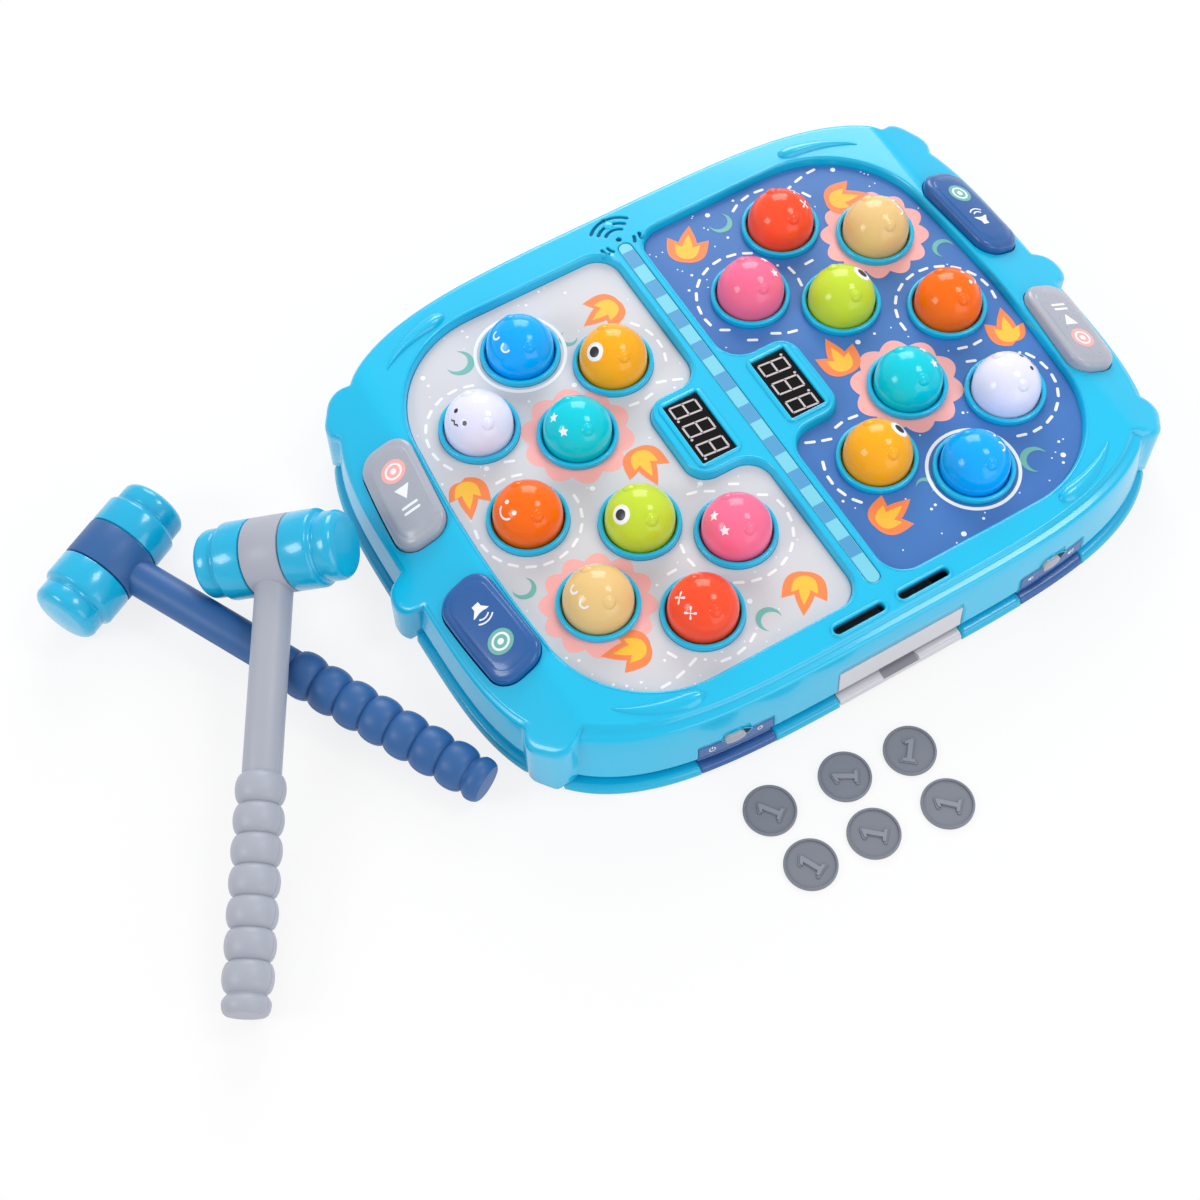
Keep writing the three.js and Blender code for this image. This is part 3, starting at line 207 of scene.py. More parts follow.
class Palette:
    """Every finish of the game, made once."""

    def __init__(self) -> None:
        """Builds the materials."""
        # Gloss-moulded ABS in cyan: bright broad highlights, a faint ripple from the mould
        self.shell = Moulded("abs_gloss_cyan", "#00bfea", "#00b7e2", 0.24, 0.4, coat=0.4,
                             grain_mm=2.5).material()
        # The same ABS, a shade deeper, where the lower casing shows
        self.base = Moulded("abs_gloss_deep_cyan", "#00b4de", "#00abd4", 0.24, 0.4, coat=0.4,
                            grain_mm=2.5).material()
        # Satin ABS in mid grey: softer highlights on the start buttons and switch knobs
        self.grey = Moulded("abs_satin_grey", "#aaaeba", "#a3a7b4", 0.28, coat=0.2, grain_mm=3.0,
                            grain_depth_mm=0.006).material()
        # The same ABS, nearly white, for the drawer: broad light on a flat face
        self.pale = Moulded("abs_satin_pale_grey", "#cfd0d6", "#c8c9d0", 0.26, coat=0.3).material()
        # Satin ABS in navy: the same moulding as the grey, so the edges still catch a thin line of light
        self.navy = Moulded("abs_satin_navy", "#235fa4", "#1e5699", 0.28, coat=0.2, grain_mm=3.0,
                            grain_depth_mm=0.006).material()
        # Matt ABS on the turned handles: one wide, soft highlight on each bead
        self.grip_grey = Moulded("abs_matt_grey", "#aaaeba", "#a3a7b4", 0.42, 0.45, grain_mm=3.0,
                                 grain_depth_mm=0.004).material()
        # Matt ABS on the navy handle, slightly lighter and greyer than the buttons: a wide, soft highlight
        self.grip_navy = Moulded("abs_matt_navy", "#30639f", "#2a5b95", 0.44, 0.45, grain_mm=3.0,
                                 grain_depth_mm=0.004).material()
        # Soft thermoplastic rubber caps: a slightly waxy bloom over cyan
        self.cap = Moulded("soft_rubber_cyan", "#06b4e0", "#02aad5", 0.24, coat=0.4, soft=0.05).material()
        # Printed polypropylene film under a clear varnish: even colour with a faint print mottle
        self.film_grey = Moulded("printed_film_grey", "#d2d2d7", "#cbcbd1", 0.34, grain_mm=0.7).material()
        # The same film in blue: the print reads as flat colour, without the casing's sheen
        self.film_blue = Moulded("printed_film_blue", "#4077bd", "#3a6fb4", 0.34, 0.4,
                                 grain_mm=0.7).material()
        # Screen inks: flat, slightly chalky colours that stand a hair above the film
        self.ink_white = Moulded("screen_ink_white", "#f6f6f8", "#eeeef2", 0.4, grain_mm=0.6).material()
        self.ink_orange = Moulded("screen_ink_orange", "#fb8a4c", "#f67f42", 0.4, grain_mm=0.6).material()
        self.ink_yellow = Moulded("screen_ink_yellow", "#fcc53a", "#f7ba30", 0.4, grain_mm=0.6).material()
        self.ink_salmon = Moulded("screen_ink_salmon", "#fbb3ae", "#f7a8a4", 0.4, grain_mm=0.6).material()
        self.ink_teal = Moulded("screen_ink_teal", "#6fb9b0", "#66aea6", 0.4, grain_mm=0.6).material()
        # Pad-printed black for signs and marks: soft black that keeps a little gloss
        self.ink_black = Moulded("pad_print_black", "#25262b", "#1e1f24", 0.3, grain_mm=0.6).material()
        # The strip's print, pale and deep by turns: an even rhythm down the middle
        self.tile_pale = Moulded("printed_strip_pale", "#79cfe4", "#70c7dc", 0.34, grain_mm=0.7).material()
        self.tile_deep = Moulded("printed_strip_deep", "#4c9dce", "#4594c5", 0.34, grain_mm=0.7).material()
        # Acrylic window over a dark display: near black, sharp reflections
        self.window = Moulded("acrylic_smoke", "#0d0c0e", "#09080a", 0.12, 0.22).material()
        # The digits' segments: pale bars on the window, dimmer than the white ink
        self.segment = Moulded("display_segment_grey", "#c9bfc1", "#bfb5b7", 0.4, grain_mm=0.4).material()
        # Painted shade in deep teal: a sheet under the grille's slots that stands for the shaded hollow seen
        # through them
        self.cloth = Moulded("speaker_cloth_teal", "#0b7f9f", "#0a7593", 0.8, grain_mm=0.5,
                             grain_depth_mm=0.08).material()
        # Filled ABS for the coins: matt grey, a slight sparkle of filler
        self.coin = Moulded("filled_abs_grey", "#7c808b", "#757984", 0.42, grain_mm=0.5,
                            grain_depth_mm=0.03).material()
        # The same filled ABS, paler and smoother, on the numeral's raised top: painted highlight that makes
        # the relief stand out
        self.rubbed = Moulded("rubbed_filled_abs", "#8d919c", "#868a95", 0.3, grain_mm=0.5,
                              grain_depth_mm=0.01).material()
        # The drawer's grey ABS, matt and darker than the face around it: painted shade in the finger notch
        # and along the groove above the lip
        self.recess = Moulded("abs_matt_painted_shade_grey", "#989ba3", "#92959d", 0.55, 0.3).material()
        # Black fibre for the speaker and sensor, and painted shade for unlit hollows such as the switch slot:
        # nearly no highlight, so openings read as deep
        self.dark = Moulded("speaker_fibre_black", "#26282c", "#1f2124", 0.7, grain_mm=0.8).material()
        # Silicone rubber mats: milky grey, dull, no crisp highlight
        self.mat = Moulded("silicone_mat_grey", "#d2d2d4", "#c8c8cb", 0.6).material()
        # Zinc-plated steel: fine drawing lines along the shank
        self.steel = Banded("zinc_plated_steel", "#b9bcc0", "#a6a9ae", 0.6, (1, 1, 0.1), 1.0, 0.3).material()
        # Solder mask over copper: darker tracks in green
        self.board = Banded("solder_mask_green", "#1f6b3a", "#17552d", 3.5, (1, 3, 1), 0.0, 0.35).material()
        # Heat-shrunk sleeve: wraps the cells with a faint wrinkle
        self.sleeve = Banded("cell_sleeve_charcoal", "#3c3f46", "#45484f", 6.0, (0.2, 1, 1)).material()

    @staticmethod
    def mole(colour: str, code: str, drift: str) -> Finish:
        """One mole's polished, slightly translucent ABS, which takes the crisp window highlights."""
        return Moulded(f"abs_polished_{colour}", code, drift, 0.15, 0.26, coat=0.15, grain_mm=3.0,
                       grain_depth_mm=0.01, soft=0.04).material()


# Plane shapes


def smooth(low: float, high: float, value: np.ndarray) -> np.ndarray:
    """A smooth step from 0 at low to 1 at high."""
    share = np.clip((np.asarray(value, float) - low) / (high - low), 0, 1)
    return share * share * (3 - 2 * share)


def soft_min(first: np.ndarray, second: np.ndarray, blend: float) -> np.ndarray:
    """The smaller of two values, with the change from one to the other rounded off."""
    share = np.clip(0.5 + 0.5 * (second - first) / blend, 0, 1)
    return second + (first - second) * share - blend * share * (1 - share)


def arc_points(centre: Sequence[float], radius: float, start: float, end: float, count: int) -> np.ndarray:
    """Points on an arc, angles in radians, both ends included."""
    angles = np.linspace(start, end, count)
    return np.stack([centre[0] + radius * np.cos(angles), centre[1] + radius * np.sin(angles)], 1)


def rounded_box(half_x: float, half_y: float, radius: float, corner: int = 10, side: int = 2) -> np.ndarray:
    """A rounded rectangle about the origin, anticlockwise, always with the same number of points.

    Args:
        half_x: half its width.
        half_y: half its height.
        radius: corner radius.
        corner: points in each corner.
        side: points added along each side between corners.

    Returns:
        An array of points, first not repeated.
    """
    radius = min(radius, half_x - 1e-4, half_y - 1e-4)
    quarter = math.pi / 2
    parts = []
    for i, (sx, sy) in enumerate(((1, -1), (1, 1), (-1, 1), (-1, -1))):
        centre = (sx * (half_x - radius), sy * (half_y - radius))
        parts.append(arc_points(centre, radius, quarter * (i - 1), quarter * i, corner))
    points = []
    for i, part in enumerate(parts):
        points.extend(part)
        start, end = part[-1], parts[(i + 1) % 4][0]
        points.extend(start + (end - start) * (k + 1) / (side + 1) for k in range(side))
    return np.array(points)


def circle(x: float, y: float, radius: float, count: int = 48) -> np.ndarray:
    """A circle as points, first not repeated."""
    return arc_points((x, y), radius, 0, math.tau, count + 1)[:-1]


def star(points: int, outer: float, inner: float, turn: float = 0.0) -> np.ndarray:
    """A star about the origin."""
    angles = np.arange(points * 2) * math.pi / points + math.pi / 2 + turn
    radii = np.where(np.arange(points * 2) % 2 == 0, outer, inner)
    return np.stack([radii * np.cos(angles), radii * np.sin(angles)], 1)


def stroke(path: np.ndarray, width: float, ends: int = 5) -> np.ndarray:
    """A line of even width with round ends, as one closed outline.

    Args:
        path: the line's points.
        width: its width.
        ends: points in each round end.

    Returns:
        The outline's points.
    """
    path = np.asarray(path, float)
    along = np.gradient(path, axis=0)
    along /= np.linalg.norm(along, axis=1)[:, None]
    normal = np.stack([-along[:, 1], along[:, 0]], 1)
    half = width / 2
    left, right = path + normal * half, path - normal * half
    last = math.atan2(along[-1, 1], along[-1, 0])
    first = math.atan2(along[0, 1], along[0, 0])
    quarter = math.pi / 2
    tip = arc_points(path[-1], half, last - quarter, last + quarter, ends + 2)[1:-1]
    tail = arc_points(path[0], half, first + quarter, first + 3 * quarter, ends + 2)[1:-1]
    return np.concatenate([right, tip, left[::-1], tail])


def turned_about(points: np.ndarray, angle: float, x: float = 0.0, y: float = 0.0) -> np.ndarray:
    """Plane points turned by an angle, then moved."""
    cos, sin = math.cos(angle), math.sin(angle)
    return points @ np.array([[cos, sin], [-sin, cos]]) + np.array([x, y])


def at_height(points: np.ndarray, height: float) -> np.ndarray:
    """Plane points as places in space, all at one height."""
    return np.c_[points, np.full(len(points), height)]


def centre_of(low: Vector, high: Vector) -> np.ndarray:
    """The middle of a box seen from above, in millimetres."""
    return np.array([(low.x + high.x) / 2 / MM, (low.y + high.y) / 2 / MM])


def inside(points: np.ndarray, loops: Iterable[np.ndarray]) -> np.ndarray:
    """Whether each point lies inside the loops, counted even and odd."""
    odd = np.zeros(len(points), bool)
    px, py = points[:, 0], points[:, 1]
    for loop in loops:
        ends = np.roll(loop, -1, axis=0)
        for (x0, y0), (x1, y1) in zip(loop, ends):
            if y0 == y1:
                continue
            hit = (y0 > py) != (y1 > py)
            odd ^= hit & (px < (x1 - x0) * (py - y0) / (y1 - y0) + x0)
    return odd


def clearance(points: np.ndarray, loops: Iterable[np.ndarray]) -> np.ndarray:
    """Each point's distance to the nearest loop's edge."""
    best = np.full(len(points), 1e9)
    for loop in loops:
        ends = np.roll(loop, -1, axis=0)
        edge = ends - loop
        length = np.maximum((edge ** 2).sum(1), 1e-12)
        for start in range(0, len(points), 2000):
            part = points[start:start + 2000, None, :]
            share = np.clip(((part - loop) * edge).sum(2) / length, 0, 1)
            gap = np.linalg.norm(part - (loop + share[..., None] * edge), axis=2).min(1)
            best[start:start + 2000] = np.minimum(best[start:start + 2000], gap)
    return best


def fill(loops: Sequence[np.ndarray], extra: Optional[np.ndarray] = None) -> tuple[np.ndarray, list]:
    """Triangulates the area between loops.

    Args:
        loops: closed outlines; what lies inside an even number of them is left out.
        extra: further points to use inside the area.

    Returns:
        The points, and triangles with their upper side towards +Z.
    """
    points = np.concatenate(list(loops) + ([extra] if extra is not None and len(extra) else []))
    edges, start = [], 0
    for loop in loops:
        count = len(loop)
        edges += [(start + i, start + (i + 1) % count) for i in range(count)]
        start += count
    result = delaunay_2d_cdt([Vector(p) for p in points], edges, [], 0, 1e-5)
    places = np.array([tuple(v) for v in result[0]])
    faces = np.array([f for f in result[2] if len(f) == 3])
    keep = inside(places[faces].mean(1), loops)
    kept = []
    for a, b, c in faces[keep]:
        area = np.cross(places[b] - places[a], places[c] - places[a])
        if abs(area) > 1e-9:
            kept.append((a, b, c) if area > 0 else (a, c, b))
    return places, kept


def grid_inside(loops: Sequence[np.ndarray], spacing: float, margin: float) -> np.ndarray:
    """Evenly spread points inside loops, kept off their edges."""
    low, high = loops[0].min(0), loops[0].max(0)
    xs = np.arange(low[0] + spacing / 2, high[0], spacing)
    ys = np.arange(low[1] + spacing / 2, high[1], spacing)
    if not len(xs) or not len(ys):
        return np.zeros((0, 2))
    points = np.stack(np.meshgrid(xs, ys), -1).reshape(-1, 2)
    points = points[inside(points, loops)]
    return points[clearance(points, loops) > margin] if len(points) else points


# Mesh building


class Form:
    """The faces of one piece, gathered in millimetres before they become a mesh."""

    def __init__(self) -> None:
        """Starts an empty form."""
        self.points: list[np.ndarray] = []
        self.faces: list[tuple[int, ...]] = []
        self.slots: list[int] = []
        self.count = 0

    def add(self, points: np.ndarray, faces: Iterable[Sequence[int]], slot: int = 0) -> None:
        """Adds points and the faces between them, in one material slot."""
        base = self.count
        self.points.append(np.asarray(points, float))
        self.count += len(points)
        for face in faces:
            self.faces.append(tuple(int(i) + base for i in face))
            self.slots.append(slot)

    def strip(self, rows: np.ndarray, wrap: bool = True, slot: int = 0,
              skip: Optional[np.ndarray] = None) -> None:
        """Adds quads between rows of points.

        Args:
            rows: an array of rows by columns by three.
            wrap: whether the last column joins the first.
            slot: material slot.
            skip: where true, that quad is left open.
        """
        height, width = rows.shape[:2]
        faces = []
        for i in range(height - 1):
            for j in range(width if wrap else width - 1):
                if skip is not None and skip[i, j]:
                    continue
                k = (j + 1) % width
                faces.append((i * width + j, i * width + k, (i + 1) * width + k, (i + 1) * width + j))
        self.add(rows.reshape(-1, 3), faces, slot)

    def lathe(self, profile: Sequence[Sequence[float]], sides: int, place: Matrix, slot: int = 0) -> None:
        """Adds a body turned about the place's Z axis, closed where its profile meets the axis.

        Args:
            profile: radius and height pairs, from one end to the other.
            sides: how many sides.
            place: where it goes, in millimetres.
            slot: material slot.
        """
        angles = np.arange(sides) * math.tau / sides
        shift = np.array(place)
        points, rings = [], []
        for radius, height in profile:
            if radius < 1e-6:
                rings.append([len(points)])
                points.append((0, 0, height))
            else:
                rings.append(list(range(len(points), len(points) + sides)))
                points.extend((radius * math.cos(a), radius * math.sin(a), height) for a in angles)
        faces = []
        for low, high in zip(rings, rings[1:]):
            for j in range(sides):
                k = (j + 1) % sides
                if len(low) == 1 and len(high) > 1:
                    faces.append((low[0], high[k], high[j]))
                elif len(high) == 1 and len(low) > 1:
                    faces.append((low[j], low[k], high[0]))
                elif len(low) > 1:
                    faces.append((low[j], low[k], high[k], high[j]))
        local = np.c_[np.array(points), np.ones(len(points))]
        self.add((local @ shift.T)[:, :3], faces, slot)

    def patch(self, loops: Sequence[np.ndarray], surface: Surface, slot: int, spacing: float = 0.0,
              lift: float = 0.06, sink: float = 0.12) -> None:
        """Adds a thin closed skin, such as a print, that follows a surface.

        Args:
            loops: outline first, then any holes, in the surface's own plane coordinates.
            surface: gives points in space for plane points and a height above the surface.
            slot: material slot.
            spacing: distance between the points added inside, or 0 for none.
            lift: how far its top stands above the surface.
            sink: how far its underside lies below it.
        """
        extra = grid_inside(loops, spacing, spacing * 0.4) if spacing else None
        places, faces = fill(loops, extra)
        count = len(places)
        points = np.concatenate([surface(places, lift), surface(places, -sink)])
        sheets = list(faces) + [(c + count, b + count, a + count) for a, b, c in faces]
        used: dict[tuple[int, int], int] = {}
        for a, b, c in faces:
            for edge in ((a, b), (b, c), (c, a)):
                used[edge] = used.get(edge, 0) + 1
        for a, b in used:
            if (b, a) not in used:
                sheets.append((b, a, a + count, b + count))
        self.add(points, sheets, slot)

    def block(self, rows: Sequence[np.ndarray]) -> None:
        """Adds a closed body: quads between rows of points, and a face at each end."""
        self.strip(np.array(rows))
        self.add(rows[-1], [range(len(rows[-1]))])
        self.add(rows[0], [range(len(rows[0]) - 1, -1, -1)])

    def object(self, name: str, finishes: Sequence[Finish], sharp: float = 34.0,
               weld: float = 0.003, outward: bool = True) -> bpy.types.Object:
        """Makes the mesh object, in metres, with smooth shading up to an angle.

        Args:
            name: the piece's name.
            finishes: its materials, in slot order.
            sharp: edges that turn more than this many degrees stay crisp.
            weld: points closer than this many millimetres become one.
            outward: whether to turn every closed part's faces outwards.

        Returns:
            The new object, linked to the scene.
        """
        mesh = bpy.data.meshes.new(name)
        mesh.from_pydata((np.concatenate(self.points) * MM).tolist(), [], self.faces)
        for finish in finishes:
            mesh.materials.append(finish)
        mesh.polygons.foreach_set("material_index", self.slots)
        work = bmesh.new()
        work.from_mesh(mesh)
        bmesh.ops.remove_doubles(work, verts=work.verts, dist=weld * MM)
        bmesh.ops.dissolve_degenerate(work, edges=work.edges, dist=1e-7)
        if outward:
            bmesh.ops.recalc_face_normals(work, faces=work.faces)
        work.to_mesh(mesh)
        work.free()
        mesh.shade_smooth()
        mesh.set_sharp_from_angle(angle=math.radians(sharp))
        return linked(name, mesh)


def settle(piece: bpy.types.Object) -> bpy.types.Object:
    """Turns a piece's modifiers into its plain mesh."""
    bpy.context.view_layer.update()
    graph = bpy.context.evaluated_depsgraph_get()
    mesh = bpy.data.meshes.new_from_object(piece.evaluated_get(graph))
    piece.modifiers.clear()
    piece.data = mesh
    return piece


def thicken(shell: bpy.types.Object, facing: int, wall: float) -> None:
    """Turns an open sheet to face up (1) or down (-1), then gives it a wall on its inner side."""
    lean = sum(face.normal.z * face.area for face in shell.data.polygons)
    if lean * facing < 0:
        shell.data.flip_normals()
    solid = shell.modifiers.new("wall", "SOLIDIFY")
    solid.thickness = wall * MM
    solid.offset = -1.0
    settle(shell)


def dress(piece: bpy.types.Object, body: str, slot: str, *nodes: str) -> None:
    """Attaches a piece to the body that carries it, and hides the solids that it stands for."""
    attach(piece, body)
    if nodes:
        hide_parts(*nodes)
    LOG.info("%s rides on %s, %d faces", piece.name, body, len(piece.data.polygons))


# Geometry node trees


class Scatter:
    """A node tree that puts one small form on every point of a mesh, with named sizes."""

    def __init__(self, name: str, sizes: dict[str, float], finish: Finish, sharp: bool = False) -> None:
        """Starts the tree.

        Args:
            name: the tree's name.
            sizes: named inputs and their values in millimetres, or counts as whole numbers.
            finish: the material its forms get.
            sharp: whether the forms keep flat faces.
        """
        self.sizes = sizes
        self.finish = finish
        self.sharp = sharp
        self.tree = bpy.data.node_groups.new(name, "GeometryNodeTree")
        face = self.tree.interface
        face.new_socket("Geometry", in_out="INPUT", socket_type="NodeSocketGeometry")
        for label, size in sizes.items():
            kind = "NodeSocketInt" if isinstance(size, int) else "NodeSocketFloat"
            face.new_socket(label, in_out="INPUT", socket_type=kind)
        face.new_socket("Geometry", in_out="OUTPUT", socket_type="NodeSocketGeometry")
        self.source = self.tree.nodes.new("NodeGroupInput")

    def size(self, label: str) -> bpy.types.NodeSocket:
        """The input socket of one named size."""
        return self.source.outputs[label]

    def close(self, form: bpy.types.NodeSocket, aligned: bool = False) -> None:
        """Puts the form on the points, realises it and gives it its material.

        Args:
            form: the small form's geometry.
            aligned: whether each form turns to the points' own angle, in the attribute turn.
        """
        tree = self.tree
        links = {"Points": self.source.outputs["Geometry"], "Instance": form}
        if aligned:
            turn = add_node(tree, "GeometryNodeInputNamedAttribute", {"data_type": "FLOAT_VECTOR"},
                            {"Name": "turn"})
            links["Rotation"] = turn.outputs["Attribute"]
        spread = add_node(tree, "GeometryNodeInstanceOnPoints", links=links)
        real = add_node(tree, "GeometryNodeRealizeInstances", links={"Geometry": spread.outputs[0]})
        shade = add_node(tree, "GeometryNodeSetShadeSmooth", values={"Shade Smooth": not self.sharp},
                         links={"Geometry": real.outputs[0]})
        coat = add_node(tree, "GeometryNodeSetMaterial", values={"Material": self.finish},
                        links={"Geometry": shade.outputs[0]})
        add_node(tree, "NodeGroupOutput", links={"Geometry": coat.outputs[0]})

    def run(self, name: str, points: np.ndarray, turns: Optional[np.ndarray] = None) -> bpy.types.Object:
        """Runs the tree on points and returns the plain mesh that it makes.

        Args:
            name: the piece's name.
            points: places in millimetres.
            turns: each form's rotation about X, Y and Z, if aligned.

        Returns:
            The object, with no modifier left on it.
        """
        mesh = bpy.data.meshes.new(name)
        mesh.from_pydata((np.asarray(points, float) * MM).tolist(), [], [])
        if turns is not None:
            attribute = mesh.attributes.new("turn", "FLOAT_VECTOR", "POINT")
            attribute.data.foreach_set("vector", np.asarray(turns, float).ravel())
        piece = linked(name, mesh)
        modifier = piece.modifiers.new("repeat", "NODES")
        modifier.node_group = self.tree
        for item in self.tree.interface.items_tree:
            if item.in_out == "INPUT" and item.name in self.sizes:
                value = self.sizes[item.name]
                modifier[item.identifier] = value if isinstance(value, int) else value * MM
        return settle(piece)


# The casing's form


@dataclass(frozen=True)
class Outline:
    """The console's rounded outline, a power curve, and its sloping roof."""

    half_length: float = 200.5
    half_width: float = 152.0
    power: float = 4.0
    rim_top: float = 48.0
    crease: float = 162.6
    crease_soft: float = 3.0
    slope: float = math.tan(math.radians(25.6))
    straight: tuple[float, float] = (120.0, 150.0)

    def at(self, angle: np.ndarray, inset: np.ndarray) -> np.ndarray:
        """Points on the outline at angles, moved inwards by insets.

        Args:
            angle: the curve's own angle at each station.
            inset: distance inside the lip's outline.

        Returns:
            An array of x and y.
        """
        cos, sin = np.cos(angle), np.sin(angle)
        share = np.sign(cos) * np.abs(cos) ** (2 / self.power)
        keep = smooth(*self.straight, np.abs(share) * self.half_length)
        x = (self.half_length - keep * inset) * share
        ratio = np.clip(np.abs(x) / (self.half_length - inset), 0, 1)
        y = np.sign(sin) * (self.half_width - inset) * (1 - ratio ** self.power) ** (1 / self.power)
        return np.stack(np.broadcast_arrays(x, y), -1)

    def angle_of(self, x: float, front: bool = True) -> float:
        """The curve angle at which the outline passes a given x."""
        angle = math.acos(math.copysign((abs(x) / self.half_length) ** (self.power / 2), x))
        return math.tau - angle if front else angle

    def stations(self, spacing: float, exact: Sequence[float]) -> np.ndarray:
        """Angles spread evenly along the outline, with exact places on the front.

        Args:
            spacing: distance between stations.
            exact: x values on the front that need a station of their own.

        Returns:
            The angles in rising order.
        """
        fine = np.linspace(0, math.tau, 40001)
        places = self.at(fine, np.zeros(len(fine)))
        run = np.r_[0, np.cumsum(np.linalg.norm(np.diff(places, axis=0), axis=1))]
        even = np.interp(np.arange(0, run[-1], run[-1] / round(run[-1] / spacing)), run, fine)
        fixed = np.array([self.angle_of(x) for x in exact])
        where = np.interp(even, fine, run)
        fixed_run = np.interp(fixed, fine, run)
        near = np.abs(where[:, None] - fixed_run[None, :]).min(1)
        return np.sort(np.r_[even[near > spacing * 0.4], fixed])

    def front_y(self, x: np.ndarray, inset: np.ndarray) -> np.ndarray:
        """The front wall's y at x, moved inwards by an inset."""
        ratio = np.abs(x) / (self.half_length - inset)
        return -(self.half_width - inset) * (1 - ratio ** self.power) ** (1 / self.power)

    def roof(self, x: np.ndarray) -> np.ndarray:
        """The height of the rim or wing at a distance from the middle."""
        past = np.abs(np.asarray(x, float)) - self.crease
        return self.rim_top - self.slope * (past + np.sqrt(past ** 2 + self.crease_soft ** 2)) / 2


@dataclass(frozen=True)
class Pad:
    """A rounded block that stands out of an end wall."""

    x: float
    y: float
    turn: float
    depth: float = 26.0
    length: float = 27.5
    corner: float = 10.0

    def distance(self, points: np.ndarray) -> np.ndarray:
        """The signed distance of points to the block's outline, negative inside."""
        moved = points - np.array([self.x, self.y])
        cos, sin = math.cos(self.turn), math.sin(self.turn)
        u = moved[..., 0] * cos + moved[..., 1] * sin
        v = -moved[..., 0] * sin + moved[..., 1] * cos
        du = np.abs(u) - (self.depth / 2 - self.corner)
        dv = np.abs(v) - (self.length / 2 - self.corner)
        out = np.hypot(np.maximum(du, 0), np.maximum(dv, 0))
        return out + np.minimum(np.maximum(du, dv), 0) - self.corner


def all_pads() -> list[Pad]:
    """The six pads: two at each end's corners and one near its middle."""
    pads = []
    for side in (1, -1):
        for end in (1, -1):
            pads.append(Pad(side * 174.1, end * 105.0, side * end * math.radians(37)))
        pads.append(Pad(side * 192.7, -side * 0.5, 0.0, length=22.0))
    return pads


FRONT_TOP = [(7.0, 5.0), (7.2, 4.2), (7.8, 3.45), (8.7, 3.05), (10.9, 2.8), (11.6, 2.5), (12.3, 1.4),
             (12.9, 0.35), (13.45, 0.02), (13.8, 0.0)]
BACK_TOP = [(7.0, 5.0), (7.05, 3.6), (7.3, 2.4), (7.7, 1.5), (8.3, 0.8), (8.9, 0.35), (9.5, 0.1),
            (10.0, 0.02), (10.2, 0.0), (10.5, 0.0)]
WING_TOP = [(5.5, 3.2), (5.6, 2.2), (5.9, 1.35), (6.4, 0.75), (7.0, 0.6), (7.4, 0.62), (7.75, 0.42),
            (8.15, 0.08), (8.5, 0.0), (8.7, 0.0)]
PAD_TOP = [(0.0, 3.4), (0.1, 2.2), (0.55, 1.2), (1.3, 0.5), (2.3, 0.12), (3.2, 0.0), (4.6, 0.0),
           (6.6, 0.0), (9.0, 0.0), (11.5, 0.0)]
WALL_ROWS = [(6.4, 5.75), (6.0, 6.3), (5.95, 8.7), (5.6, 9.5), (4.5, 11.0), (4.0, 11.6), (3.82, 12.2),
             (3.85, 13.2), (4.1, 15.6), (4.4, 18.7), (4.62, 21.3), (4.85, 23.7), (5.25, 28.2),
             (5.7, 33.0), (6.25, 38.0), (6.7, 41.5)]
LIP_ROWS = [(9.0, 5.75), (5.2, 5.75), (2.9, 5.65), (1.9, 5.4), (1.2, 4.8), (0.6, 3.6), (0.25, 2.5),
            (0.05, 1.7), (0.3, 0.9), (0.9, 0.25), (1.6, 0.0), (3.0, 0.0)]


